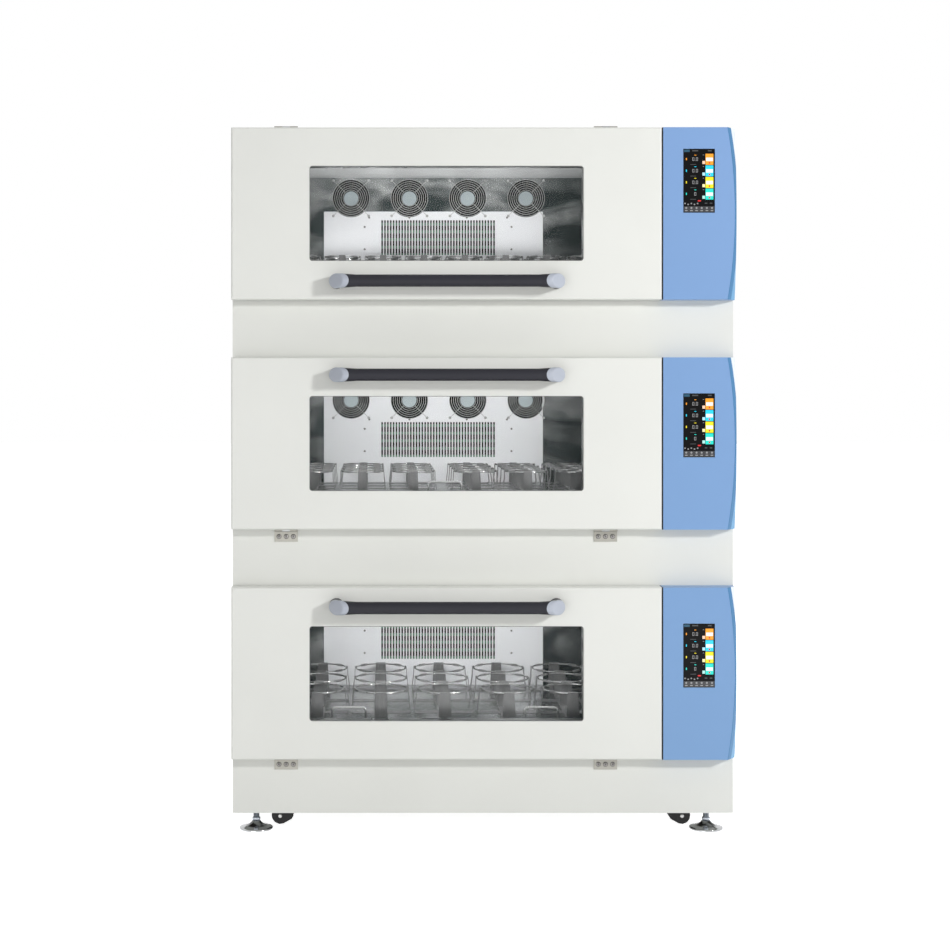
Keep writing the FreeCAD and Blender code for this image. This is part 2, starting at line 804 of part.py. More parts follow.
def door_handle(unit):
    """Round bar between two elbows, each closed by an oval cap on its slanted end."""
    label = f"door_handle_{unit}"
    height = size(f"{unit}_base")
    if unit == "top":
        height += size("fascia_height") + size("handle_offset")
    else:
        height += size("unit_height") - size("handle_offset")
    half = size("handle_length") / 2 - size("elbow_radius")
    start = FreeCAD.Vector(size("door_centre") - half, size("door_front") - size("handle_standoff"), height)
    bar = Part.makeCylinder(size("handle_radius"), 2 * half, start, AXIS_X)
    legs = []
    caps = []
    for side in (-1, 1):
        leg, cap = handle_elbow(side, height)
        legs.append(leg)
        caps.append(cap)
    node(solids(label, [legs[0].fuse([bar, legs[1]]).removeSplitter().Solids[0]] + caps), label)


def handle_elbow(side, height):
    """Leg to the door, its outer front corner cut at 45 degrees, and the cap on the cut."""
    radius = size("elbow_radius")
    outer = size("door_centre") + side * size("handle_length") / 2
    front = size("front")
    foot = FreeCAD.Vector(outer - side * radius, size("door_front"), height)
    leg = closed_face(ring_points(foot, radius, count("round_side_count"), "Y")).extrude(
        FreeCAD.Vector(0, front - size("door_front"), 0))
    reach = 2 * radius + size("overrun")
    past_end = outer + side * size("overrun")
    past_leg = past_end - side * reach
    past_front = front - size("overrun")

    def beyond(offset):
        """Everything outside the slanted plane, moved back from the corner."""
        corners = [(past_end, front + reach + offset), (past_leg, front + offset),
                   (past_leg, past_front), (past_end, past_front)]
        outline = [FreeCAD.Vector(x, y, height - reach) for x, y in corners]
        return closed_face(outline).extrude(FreeCAD.Vector(0, 0, 2 * reach))

    inner_plane = beyond(size("elbow_cap"))
    cap = leg.common(inner_plane.cut(beyond(0)))
    return leg.cut(inner_plane), cap


def door_seals():
    """Gasket strips round each chamber opening, on the front frame."""
    parts = []
    for unit in UNITS:
        base = f"{unit}_base"
        low = f"{base} + chamber_floor - seal_margin - seal_width"
        high = f"{base} + chamber_ceiling + seal_margin"
        left = "liner_left - seal_margin - seal_width"
        right = "liner_left + chamber_width + seal_margin"
        wide = "chamber_width + 2 * seal_margin + 2 * seal_width"
        tall = "chamber_ceiling - chamber_floor + 2 * seal_margin"
        for corner, extent in (
                ((left, low), (wide, "seal_width")),
                ((left, high), (wide, "seal_width")),
                ((left, f"{low} + seal_width"), ("seal_width", tall)),
                ((right, f"{low} + seal_width"), ("seal_width", tall))):
            parts.append(block("seal_strip", (corner[0], "door_back + fit", corner[1]),
                               (extent[0], "seal_thick - fit", extent[1])))
    node(group("door_seals", parts), "door_seals")


def frame_hinge_leaves():
    """Fixed leaves of the door hinges with their outer knuckles."""
    parts = []
    third = "hinge_width / 3"
    for unit in UNITS:
        height = hinge_height(unit)
        for sign in ("-", "+"):
            left = f"door_centre {sign} hinge_spread - hinge_width / 2"
            if unit == "top":
                roof = f"{unit}_base + unit_height"
                members = [block("leaf", (left, "frame_front", roof),
                                 ("hinge_width", "hinge_tall", "hinge_plate"))]
            else:
                members = [block("leaf", (left, "frame_front - hinge_plate", f"{height} - hinge_tall"),
                                 ("hinge_width", "hinge_plate", "hinge_tall - knuckle_radius"))]
            for start in (left, f"{left} + 2 * {third}"):
                members.append(prism("leaf_knuckle", (start, "hinge_axis_y", height), "knuckle_radius",
                                     third, axis="X"))
                if unit == "top":
                    members.append(block("leaf_tab", (start, "hinge_axis_y", roof),
                                         (third, "frame_front - hinge_axis_y", "hinge_plate")))
                else:
                    members.append(block("leaf_tab", (start, "frame_front - hinge_plate",
                                                      f"{height} - knuckle_radius"),
                                         (third, "hinge_plate", "knuckle_radius")))
            parts.append(fuse("frame_leaf", members))
    node(group("frame_hinge_leaves", parts), "frame_hinge_leaves")


def control_covers():
    """Moulded covers beside the doors, their outer edge bowed and bevelled."""
    parts = []
    for unit in UNITS:
        low = f"{unit}_base + fascia_height"
        blank = block("cover_blank", ("cover_left", "door_front", low),
                      ("cover_width", "door_thick + seal_thick", "door_height"))
        middle = ("half_width - bow_inset - bow_radius", "door_front", f"{low} + door_height / 2")
        bow = cone("cover_bow", middle, "bow_radius", "bow_radius + bevel_spread",
                   "door_thick + seal_thick", "Y")
        shaped = common("cover_shaped", blank, bow)
        inside = ("cover_left + cover_wall", "door_front + cover_wall", f"{low} + cover_wall")
        hollow = block("cover_hollow", inside,
                       ("cover_width - cover_wall - cover_inner_margin", "door_thick + seal_thick",
                        "door_height - 2 * cover_wall"))
        hollowed = cut("cover_hollowed", shaped, hollow)
        drop = f"screen_drop_{unit}"
        opening = block("screen_opening", ("cover_left + screen_left - fit", "door_front - overrun",
                                           f"{unit}_base + unit_height - {drop} - screen_height - fit"),
                        ("screen_width + 2 * fit", "2 * overrun", "screen_height + 2 * fit"))
        parts.append(cut("control_cover", hollowed, opening))
    node(group("control_covers", parts), "control_covers")


def touch_screens():
    parts = []
    for unit in UNITS:
        drop = f"screen_drop_{unit}"
        parts.append(block("touch_screen", ("cover_left + screen_left", "door_front",
                                            f"{unit}_base + unit_height - {drop} - screen_height"),
                           ("screen_width", "screen_thick", "screen_height")))
    node(group("touch_screens", parts), "touch_screens")


def drive_motors():
    """Motor blocks on the cabinet floors, each with the bearing of its crank shaft."""
    parts = []
    for unit in UNITS:
        floor = f"{unit}_base + plinth_recess + skin"
        motor = block("motor_block", ("door_centre - drive_width / 2", "crank_y - drive_width / 2", floor),
                      ("drive_width", "drive_width", "drive_height"))
        bearing = prism("bearing_tower", ("door_centre", "crank_y", f"{floor} + drive_height - overrun"),
                        "bearing_radius", "bearing_height - overrun", "round_side_count")
        bottom = f"{unit}_base + chamber_floor - shaft_depth - fit"
        bore = rod("shaft_bore", ("door_centre", "crank_y", bottom),
                   "shaft_radius + running_gap", "shaft_depth + overrun")
        parts.append(cut("drive_motor", fuse("motor_blank", [motor, bearing]), bore))
    node(group("drive_motors", parts), "drive_motors")


def drive_crank(unit):
    """Upright shaft with a disc that carries the crank pin off its centre."""
    floor = f"{unit}_base + chamber_floor"
    parts = [
        prism("crank_shaft", ("door_centre", "crank_y", f"{floor} - shaft_depth"),
              "shaft_radius", "shaft_depth"),
        prism("crank_disc", ("door_centre", "crank_y", f"{floor} - crank_disc_thick + crank_rise"),
              "crank_disc_radius", "crank_disc_thick", "round_side_count"),
        prism("crank_pin", ("door_centre", "tray_y", floor),
              "crank_pin_radius", "crank_rise + pin_height - fit"),
    ]
    node(fuse(f"drive_crank_{unit}", parts), f"drive_crank_{unit}")


def platform(unit):
    """Carrier plate with the pin's bearing, and the tray with its rim and pull loops."""
    top = f"{unit}_base + tray_top"
    under = f"{top} - tray_skin"
    hub_low = f"{unit}_base + chamber_floor + crank_rise + fit"
    tray = block("tray_sheet", ("door_centre - tray_width / 2", "tray_y - tray_depth / 2", under),
                 ("tray_width", "tray_depth", "tray_skin"))
    carrier = block("carrier", ("door_centre - tray_width / 2 + carrier_side_inset",
                                "tray_y - tray_depth / 2 + carrier_front_inset", f"{under} - carrier_thick"),
                    ("tray_width - 2 * carrier_side_inset", "tray_depth - 2 * carrier_front_inset",
                     "carrier_thick"))
    hub = prism("carrier_hub", ("door_centre", "tray_y", hub_low), "carrier_hub_radius",
                f"({under}) - carrier_thick - ({hub_low})", "round_side_count")
    bore = rod("pin_bore", ("door_centre", "tray_y", f"{hub_low} - overrun"),
               "crank_pin_radius + running_gap", "pin_height + overrun")
    members = [tray, carrier, cut("carrier_hub_bored", hub, bore)]
    for y_text in ("tray_y - tray_depth / 2", "tray_y + tray_depth / 2 - tray_skin"):
        members.append(block("tray_rim", ("door_centre - tray_width / 2", y_text, f"{under} - tray_rim"),
                             ("tray_width", "tray_skin", "tray_rim")))
    for x_text in pull_places(unit):
        members += pull_loop(x_text, top)
    node(group(f"platform_{unit}", members), f"platform_{unit}")


def pull_places(unit):
    """X of the wire loops that the tray is drawn out by, between two clamps."""
    if unit == "bottom":
        return ["door_centre - 3 * large_pitch / 2", "door_centre + 3 * large_pitch / 2"]
    if unit == "middle":
        return ["door_centre"]
    return []


def pull_loop(x_text, top):
    """Upright wire loop at the front of the tray."""
    y_text = "tray_y - tray_depth / 2 + pull_inset"
    post_tall = "pull_height - 2 * pull_wire"
    parts = []
    for side in (f"{x_text} - pull_width / 2", f"{x_text} + pull_width / 2 - 2 * pull_wire"):
        parts.append(block("pull_post", (side, f"{y_text} - pull_wire", top),
                           ("2 * pull_wire", "2 * pull_wire", post_tall)))
    parts.append(block("pull_bar", (f"{x_text} - pull_width / 2", f"{y_text} - pull_wire",
                                    f"{top} + pull_height - 2 * pull_wire"),
                       ("pull_width", "2 * pull_wire", "2 * pull_wire")))
    return parts


def flask_clamp(kind):
    """Solids of one clamp about its own centre: base plate and four leaning legs."""
    metal = size("clamp_metal")
    foot = size(f"{kind}_foot")
    ring = size(f"{kind}_ring")
    tall = size(f"{kind}_height")
    wide = size(f"{kind}_leg")
    tip = size(f"{kind}_leg_tip")
    sides = count(f"{kind}_side_count")
    half_side = math.pi / sides
    base = closed_face(ring_points(FreeCAD.Vector(), foot / math.cos(half_side), sides, "Z", half_side))
    pieces = [base.extrude(FreeCAD.Vector(0, 0, metal))]
    outline = [FreeCAD.Vector(foot, -wide / 2, metal), FreeCAD.Vector(foot, wide / 2, metal),
               FreeCAD.Vector(ring, tip / 2, tall), FreeCAD.Vector(ring, -tip / 2, tall)]
    leg = closed_face(outline).extrude(FreeCAD.Vector(-metal, 0, 0))
    for quarter in range(4):
        turned = leg.copy()
        turned.rotate(FreeCAD.Vector(), AXIS_Z, math.degrees(math.tau * quarter / 4))
        pieces.append(turned)
    return pieces


def centred(number, pitch):
    """Evenly spaced places about zero."""
    return [(index - (number - 1) / 2) * pitch for index in range(number)]


def clamp_columns(kind):
    """X of the clamp columns from the middle of the tray, as many as it takes."""
    pitch = size(f"{kind}_pitch")
    if kind != "medium":
        return centred(int(size("tray_width") // pitch), pitch)
    first = size("medium_centre_gap") / 2
    room = size("tray_width") / 2 - first - size("medium_foot")
    offsets = [first + index * pitch for index in range(int(room // pitch) + 1)]
    return [-offset for offset in reversed(offsets)] + offsets


def clamp_rows(kind):
    """Y of the clamp rows from the middle of the tray."""
    pitch = size(f"{kind}_row_pitch")
    return centred(int(size("tray_depth") // pitch), pitch)


CLAMP_KIND = {"bottom": "large", "middle": "medium", "top": "small"}


def flask_clamps(unit):
    kind = CLAMP_KIND[unit]
    top = size(f"{unit}_base") + size("tray_top")
    shapes = []
    for column in clamp_columns(kind):
        for row in clamp_rows(kind):
            place = FreeCAD.Vector(size("door_centre") + column, size("tray_y") + row, top)
            for piece in flask_clamp(kind):
                piece.translate(place)
                shapes.append(piece)
    label = f"flask_clamps_{unit}"
    node(solids(label, shapes), label)


def levelling_foot(number, x_text, y_text):
    """Disc, cone, lock nut and threaded stem of one foot."""
    sides = count("disc_side_count")
    low = FreeCAD.Vector(place_value(x_text), place_value(y_text), size("foot_disc"))
    high = low + FreeCAD.Vector(0, 0, size("foot_cone_height"))
    rings = [ring_points(low, size("foot_cone_radius"), sides, "Z"),
             ring_points(high, size("foot_neck_radius"), sides, "Z")]
    label = f"levelling_foot_{number}"
    parts = [
        prism("foot_disc", (x_text, y_text, "0"), "foot_radius", "foot_disc", "disc_side_count"),
        solids(f"{label}_cone", [frustum(*rings)]),
        prism("foot_nut", (x_text, y_text, "foot_nut_low"), "foot_nut", "foot_nut_height", "nut_side_count"),
        prism("foot_stem", (x_text, y_text, "foot_disc"), "foot_stem_radius", "foot_stem_top - foot_disc"),
    ]
    node(fuse(label, parts), label)


def caster(number, x_text, y_text):
    """Swivel fork with its king pin and axle, and the wheel."""
    outward = "-" if x_text.startswith("-") else "+"
    top = "base_height + plinth_recess - caster_plate_thick - fit"
    axle_z = "wheel_lift + wheel_radius"
    axle_x = f"{x_text} {outward} caster_trail"
    half = "wheel_width / 2 + fork_gap"
    crown = prism("fork_crown", (x_text, y_text, f"{top} - fork_plate"), "fork_top_radius", "fork_plate")
    king = prism("king_pin", (x_text, y_text, f"{top} - fork_plate"), "king_radius",
                 "fork_plate + caster_plate_thick")
    members = [crown, king, solids(f"fork_cheeks_{number}", fork_cheeks(x_text, y_text))]
    members.append(prism("axle", (axle_x, f"{y_text} - ({half}) - fork_plate", axle_z), "axle_radius",
                         f"2 * ({half} + fork_plate)", "pin_side_count", "Y"))
    members.append(prism("axle_head", (axle_x, f"{y_text} - ({half}) - 2 * fork_plate", axle_z), "axle_head",
                         "fork_plate", "nut_side_count", "Y"))
    fork_label = f"caster_fork_{number}"
    node(fuse(fork_label, members), fork_label)
    tyre = prism("tyre", (axle_x, f"{y_text} - wheel_width / 2", axle_z), "wheel_radius", "wheel_width",
                 "disc_side_count", "Y")
    bore = rod("wheel_bore", (axle_x, f"{y_text} - wheel_width / 2 - overrun", axle_z),
               "axle_radius + running_gap", "wheel_width + 2 * overrun", "Y")
    wheel_label = f"caster_wheel_{number}"
    node(cut(wheel_label, tyre, bore), wheel_label)


def place_value(text):
    """Value of a place written as sizes added or taken away."""
    total = 0
    for sign, word in re.findall(r"([+-]?)\s*([a-z_]+)", text):
        total += -size(word) if sign == "-" else size(word)
    return total


def fork_cheeks(x_text, y_text):
    """The two sloping cheeks from the crown down to the axle."""
    x_king = place_value(x_text)
    y_mid = place_value(y_text)
    outward = -1 if x_king < 0 else 1
    x_axle = x_king + outward * size("caster_trail")
    z_axle = size("wheel_lift") + size("wheel_radius")
    z_top = size("base_height") + size("plinth_recess") - size("caster_plate_thick") - size("fit")
    reach = size("fork_top_radius") - size("fork_plate")
    foot = size("axle_head")
    outline = [(x_king - reach, z_top - size("fork_plate")), (x_king + reach, z_top - size("fork_plate")),
               (x_axle + foot, z_axle), (x_axle, z_axle - foot), (x_axle - foot, z_axle)]
    shapes = []
    for side in (-1, 1):
        inner = y_mid + side * (size("wheel_width") / 2 + size("fork_gap"))
        low = min(inner, inner + side * size("fork_plate"))
        face = closed_face([FreeCAD.Vector(x, low, z) for x, z in outline])
        shapes.append(face.extrude(FreeCAD.Vector(0, size("fork_plate"), 0)))
    return shapes


def build():
    fill_sheets()
    for unit in UNITS:
        cabinet(unit)
        chamber(unit)
        door_shell(unit)
        door_liner(unit)
        door_window(unit)
        door_handle(unit)
        drive_crank(unit)
        platform(unit)
        flask_clamps(unit)
        for number in range(1, count("fan_count") + 1):
            fan_rotor(unit, number)
    back_walls()
    heater_coils()
    fan_housings()
    fan_guards()
    door_seals()
    frame_hinge_leaves()
    control_covers()
    touch_screens()
    drive_motors()
    for number, (x_text, y_text) in enumerate(corner_places("foot_spread", "foot_setback"), start=1):
        levelling_foot(number, x_text, y_text)
    for number, (x_text, y_text) in enumerate(corner_places("caster_spread", "caster_setback"), start=1):
        caster(number, x_text, y_text)
    doc.recompute()


def check_and_write():
    for item in doc.Objects:
        if "Invalid" in item.State or "Error" in item.State:
            raise RuntimeError(f"{item.Label} failed")
    for item in nodes:
        if item.Shape.isNull() or not item.Shape.isValid() or not item.Shape.Solids:
            raise RuntimeError(f"{item.Label} has no sound shape")
    os.makedirs("parts", exist_ok=True)
    for item in nodes:
        item.Shape.exportStep(f"parts/{item.Label}.step")
        box = item.Shape.BoundBox
        extent = f"{box.XLength:.0f} x {box.YLength:.0f} x {box.ZLength:.0f}"
        print(f"{item.Label}: {len(item.Shape.Solids)} solids, {extent}")


build()
check_and_write()
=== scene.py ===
"""Looks of the stack of three incubated shakers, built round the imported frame, in metres."""

import math

import bmesh
import bpy
from mathutils import Matrix, Vector

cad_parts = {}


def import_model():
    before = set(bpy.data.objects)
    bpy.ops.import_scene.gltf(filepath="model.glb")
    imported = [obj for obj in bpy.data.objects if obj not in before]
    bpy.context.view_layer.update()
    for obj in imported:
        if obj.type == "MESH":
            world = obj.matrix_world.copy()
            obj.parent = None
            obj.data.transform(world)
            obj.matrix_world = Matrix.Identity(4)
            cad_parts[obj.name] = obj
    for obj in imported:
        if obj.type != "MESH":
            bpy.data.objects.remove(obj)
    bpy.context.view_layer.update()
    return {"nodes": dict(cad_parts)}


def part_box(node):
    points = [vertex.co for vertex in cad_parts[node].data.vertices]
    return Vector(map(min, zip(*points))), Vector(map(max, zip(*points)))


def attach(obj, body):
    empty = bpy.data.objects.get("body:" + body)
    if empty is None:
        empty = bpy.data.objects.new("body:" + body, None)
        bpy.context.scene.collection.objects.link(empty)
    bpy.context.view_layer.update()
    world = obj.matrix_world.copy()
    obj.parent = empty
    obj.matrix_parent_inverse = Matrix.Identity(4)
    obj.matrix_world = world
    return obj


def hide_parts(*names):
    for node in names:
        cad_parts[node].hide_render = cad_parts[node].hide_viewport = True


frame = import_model()

UNITS = ("bottom", "middle", "top")
FOUR = (1, 2, 3, 4)
MM = 0.001

# Places read from the frame
DOOR_LOW, DOOR_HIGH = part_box("door_shell_bottom")
COVER_LOW, COVER_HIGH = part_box("control_covers")
FACE_Y = DOOR_LOW.y
DOOR_CENTRE = (DOOR_LOW.x + DOOR_HIGH.x) / 2
DOOR_HEIGHT = DOOR_HIGH.z - DOOR_LOW.z
WALL_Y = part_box("back_walls")[0].y
PANEL_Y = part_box("cabinet_bottom")[0].y
REAR_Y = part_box("heater_coils")[1].y
UNIT_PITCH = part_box("door_shell_middle")[0].z - DOOR_LOW.z
DOOR_BASE = {unit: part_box(f"door_shell_{unit}")[0].z for unit in UNITS}


# Materials

GRAIN_DEPTH = 0.2 * MM
LINE_DEPTH = 0.3 * MM
WAVE_DEPTH = 20 * MM


class Nodes:
    """A node tree made from values, each of them a socket, a number, a vector or a colour."""

    def __init__(self, tree):
        self.tree = tree

    def feed(self, socket, value):
        """Links a socket to a value, or sets it."""
        if isinstance(value, bpy.types.NodeSocket):
            self.tree.links.new(value, socket)
        elif socket.type == "RGBA":
            socket.default_value = (*value, 1)
        else:
            socket.default_value = value

    def add(self, kind, output, inputs, **settings):
        """One output of a new node."""
        made = self.tree.nodes.new(kind)
        for name, value in settings.items():
            setattr(made, name, value)
        for name, value in inputs.items():
            self.feed(made.inputs[name], value)
        return made.outputs[output]

    def maths(self, operation, first, second=0):
        """Arithmetic on two values."""
        return self.add("ShaderNodeMath", "Value", {0: first, 1: second}, operation=operation)

    def spread(self, value, low, high, low_in=0.3, high_in=0.7):
        """Carries a value between two limits."""
        return self.add("ShaderNodeMapRange", "Result", {
            "Value": value, "From Min": low_in, "From Max": high_in, "To Min": low, "To Max": high})

    def seen_rays(self):
        """One for rays of the camera, of reflections and through glass."""
        path = self.tree.nodes.new("ShaderNodeLightPath").outputs
        seen = self.maths("MAXIMUM", path["Is Camera Ray"], path["Is Glossy Ray"])
        return self.maths("MAXIMUM", seen, path["Is Transmission Ray"])


class Look(Nodes):
    """A material whose surface shader is fed by noise, height and facing."""

    def __init__(self, name):
        self.material = bpy.data.materials.new(name)
        self.material.use_nodes = True
        super().__init__(self.material.node_tree)
        self.shader = self.tree.nodes["Principled BSDF"]
        self.place = self.add("ShaderNodeTexCoord", "Object", {})

    def set(self, values):
        """Feeds sockets of the surface shader and gives the material."""
        for name, value in values.items():
            self.feed(self.shader.inputs[name], value)
        return self.material

    def noise(self, scale, detail=2.0, stretch=(1, 1, 1), distortion=0.0):
        """A noise value; stretch squeezes it along an axis."""
        squeezed = self.add("ShaderNodeMapping", "Vector", {"Vector": self.place, "Scale": stretch})
        return self.add("ShaderNodeTexNoise", "Fac", {
            "Vector": squeezed, "Scale": scale, "Detail": detail, "Distortion": distortion})

    def mixed(self, factor, first, second):
        """A colour between two, each a colour or a socket."""
        inputs = {"Factor": factor, "A": first, "B": second}
        return self.add("ShaderNodeMix", "Result", inputs, data_type="RGBA")

    def normal(self):
        """The direction that the surface faces."""
        return self.add("ShaderNodeNewGeometry", "Normal", {})

    def along(self, vector, axis):
        """One coordinate of a vector."""
        return self.add("ShaderNodeSeparateXYZ", axis, {"Vector": vector})

    def tinted(self, value, colour, share):
        """A colour that goes down to a share of itself where the value is high."""
        return self.mixed(value, colour, dimmed(colour, share))

    def bump(self, height, strength, distance):
        """Makes the surface look raised where the value is high."""
        self.set({"Normal": self.add("ShaderNodeBump", "Normal", {
            "Height": height, "Strength": strength, "Distance": distance})})


def linear(red, green, blue):
    """Screen colour, 0 to 255, as the linear values that shaders take."""
    def one(value):
        share = value / 255
        if share <= 0.04045:
            return share / 12.92
        return ((share + 0.055) / 1.055) ** 2.4
    return one(red), one(green), one(blue)


def dimmed(colour, share):
    """A share of a linear colour."""
    return tuple(value * share for value in colour)


def paint(name, colour, rough=0.4):
    """Powder coat: faint orange peel and a very slight change of tone."""
    look = Look(name)
    grain = look.noise(900.0, 3.0)
    look.bump(grain, 0.05, GRAIN_DEPTH)
    tone = look.spread(look.noise(3.0), 0, 1)
    return look.set({"Base Color": look.tinted(tone, colour, 0.97), "Specular IOR Level": 0.35,
                     "Roughness": look.spread(grain, rough - 0.04, rough + 0.05)})


def moulding(name, colour, rough=0.3, grain_scale=1500.0, grain_bump=0.03, gloss=0.45):
    """Moulded plastic or rubber with a fine grain."""
    look = Look(name)
    grain = look.noise(grain_scale)
    look.bump(grain, grain_bump, GRAIN_DEPTH)
    tone = look.spread(look.noise(5.0), 0, 1)
    return look.set({"Base Color": look.tinted(tone, colour, 0.93), "Specular IOR Level": gloss,
                     "Roughness": look.spread(grain, rough - 0.05, rough + 0.06)})


def satin_metal(name, colour, rough=0.3, stretch=(1, 25, 25), scale=90.0, metallic=1.0):
    """Brushed or drawn metal, its grain along one axis."""
    look = Look(name)
    lines = look.noise(scale, 4.0, stretch)
    look.bump(lines, 0.08, LINE_DEPTH)
    return look.set({"Base Color": look.tinted(look.spread(lines, 0, 1), colour, 0.85),
                     "Roughness": look.spread(lines, rough - 0.06, rough + 0.1), "Metallic": metallic})


def wavy_steel_painted_reflections(name, dark, light, scale, stretch=(1, 1, 1.6), rough=0.16):
    """Bright rolled sheet with an uneven face, whose dark and light colours, folded together, are painted
    reflections.
    """
    look = Look(name)
    waves = look.noise(scale, 1.5, stretch, 1.2)
    reflection_folds = look.noise(scale * 2.3, 1.0, stretch, 1.6)
    # painted reflections: the colour swings between the dark and the light tone with the waves and folds
    tone = look.maths("MULTIPLY", look.spread(waves, 0, 1, 0.4, 0.7), look.spread(reflection_folds, 0.6, 1))
    look.bump(waves, 0.12, WAVE_DEPTH)
    return look.set({"Base Color": look.mixed(tone, dark, light), "Metallic": 0.8,
                     "Roughness": look.spread(reflection_folds, rough, rough + 0.1)})


def chamber_steel_painted_reflections(name, side_dark_reflection, side_light_reflection, bright):
    """Liner sheet: bright and barely metallic above and below, its tall sides dark and metallic with
    upright streaks; the dark sides and their streaks are painted reflections.
    """
    look = Look(name)
    reflection_streaks = look.noise(6.0, 2.0, (4, 4, 0.3), 0.4)
    side = look.mixed(look.spread(reflection_streaks, 0, 1, 0.42, 0.72), side_dark_reflection, side_light_reflection)
    lines = look.noise(60.0, 3.0, (1, 14, 1))
    flat = look.tinted(look.spread(lines, 0, 1), bright, 0.9)
    # painted reflections by facing: upright faces take the dark streaked colour, flat faces the bright one
    upright = look.maths("GREATER_THAN", look.maths("ABSOLUTE", look.along(look.normal(), "X")), 0.5)
    look.bump(look.noise(4.0, 1.0), 0.12, WAVE_DEPTH)
    return look.set({"Base Color": look.mixed(upright, flat, side),
                     "Roughness": look.spread(lines, 0.16, 0.26),
                     "Metallic": look.spread(upright, 0.2, 0.95, 0, 1)})


def foot_chrome(name, disc, cone_dark_reflection, cone_light_reflection, stem):
    """Bright plating with painted reflections: pale disc, cone with dark and light reflection patches,
    bluish stem dimmed in patches.
    """
    look = Look(name)
    reflection_patches = look.noise(45.0, 1.0, (1, 1, 0.6))
    height = look.along(look.place, "Z")
    # painted reflections: dark and light patches on the cone; disc, cone and stem each take their own tone
    # by height
    cone = look.mixed(look.spread(reflection_patches, 0, 1, 0.46, 0.6), cone_dark_reflection, cone_light_reflection)
    lower = look.mixed(look.spread(height, 0, 1, 8.5 * MM, 10.5 * MM), disc, cone)
    upper = look.tinted(reflection_patches, stem, 0.4)
    return look.set({"Base Color": look.mixed(look.spread(height, 0, 1, 21 * MM, 23 * MM), lower, upper),
                     "Roughness": look.spread(reflection_patches, 0.06, 0.16), "Metallic": 0.95})


def cover_plastic_painted_light(name, low_colour, high_colour, bevel_low, bevel_highlight):
    """Blue moulding with painted light: its face paler to the top, and its bevel running from blue up to a
    nearly white painted highlight in each unit.
    """
    look = Look(name)
    height = look.along(look.place, "Z")
    # painted light: the face grows paler towards the top of the stack
    face = look.mixed(look.spread(height, 0, 1, COVER_LOW.z, COVER_HIGH.z), low_colour, high_colour)
    # painted highlight: each unit's bevel goes from blue up to nearly white
    above = look.maths("DIVIDE", look.maths("SUBTRACT", height, COVER_LOW.z), UNIT_PITCH)
    bevel = look.mixed(look.spread(look.maths("FRACT", above), 0, 1, 0.05, 0.6), bevel_low, bevel_highlight)
    normal = look.normal()
    slanted = look.maths("MULTIPLY", look.maths("GREATER_THAN", look.along(normal, "X"), 0.35),
                         look.maths("LESS_THAN", look.along(normal, "Y"), -0.25))
    grain = look.noise(1500.0)
    look.bump(grain, 0.03, GRAIN_DEPTH)
    return look.set({"Base Color": look.mixed(slanted, face, bevel),
                     "Roughness": look.spread(grain, 0.3, 0.4)})


def clear_glass(name, colour, alpha):
    """Toughened pane that lets light through, with faint smears."""
    look = Look(name)
    smear = look.noise(14.0, 3.0)
    return look.set({"Base Color": look.tinted(smear, colour, 0.8),
                     "Roughness": look.spread(smear, 0.01, 0.05), "Alpha": alpha})


def lit(name, colour, strength):
    """A lit patch of the display."""
    look = Look(name)
    dots = look.noise(2500.0, 1.0)
    return look.set({"Base Color": look.mixed(dots, dimmed(colour, 0.5), dimmed(colour, 0.4)),
                     "Emission Color": colour, "Emission Strength": strength, "Roughness": 0.2})


WHITE = paint("cabinet_white", linear(231, 232, 227))
DOOR_WHITE = paint("door_white", linear(236, 237, 232))
# The face colours run paler to the top as painted light, and the bevel ends in a nearly white painted
# highlight.
BLUE = cover_plastic_painted_light("cover_blue_painted_light", linear(122, 161, 207), linear(126, 163, 213),
                     linear(112, 170, 214), linear(236, 244, 252))
# Painted shade: the darker blue of the band on the cover's shaded bevel.
BLUE_EDGE_SHADE = moulding("cover_edge_painted_shade", linear(56, 126, 178), 0.35)
# Painted reflections: the liner's dark streaked sides and bright flats.
LINER = chamber_steel_painted_reflections("liner_steel", (0.06, 0.075, 0.075), (0.3, 0.33, 0.34), (0.84, 0.85, 0.85))
# Painted reflections: the wall's dark and light tones.
WALL = wavy_steel_painted_reflections("wall_steel_painted_reflections", (0.075, 0.09, 0.09), (0.62, 0.63, 0.625), 5.5)
RETURN_PANEL = paint("return_panel_grey", linear(224, 225, 227), 0.3)
# Painted reflections: the door liner's dark and light tones.
DOOR_LINER = wavy_steel_painted_reflections("door_liner_painted_reflections", (0.2, 0.21, 0.21), (0.55, 0.56, 0.56), 3.0, (1, 1, 1), 0.25)
TRAY = satin_metal("tray_metal", (0.5, 0.51, 0.51), 0.22)
STRIP = satin_metal("clamp_strip", (0.24, 0.24, 0.24), 0.38, (3, 3, 0.5), 30.0, 0.6)
WIRE = satin_metal("bright_wire", (0.8, 0.8, 0.79), 0.14, (3, 3, 3), metallic=0.85)
GUARD = satin_metal("guard_chrome", (0.78, 0.78, 0.77), 0.2, (3, 3, 3), metallic=0.5)
SPRING = satin_metal("spring_steel", (0.42, 0.42, 0.42), 0.3, (3, 3, 3), metallic=0.8)
GLASS = clear_glass("window_glass", (0.10, 0.13, 0.13), 0.03)
BAR = moulding("handle_black", linear(36, 36, 44), 0.42, 1500.0, 0.03, 0.3)
CAP = moulding("handle_cap", linear(184, 190, 202), 0.36, 2500.0, 0.1, 0.6)
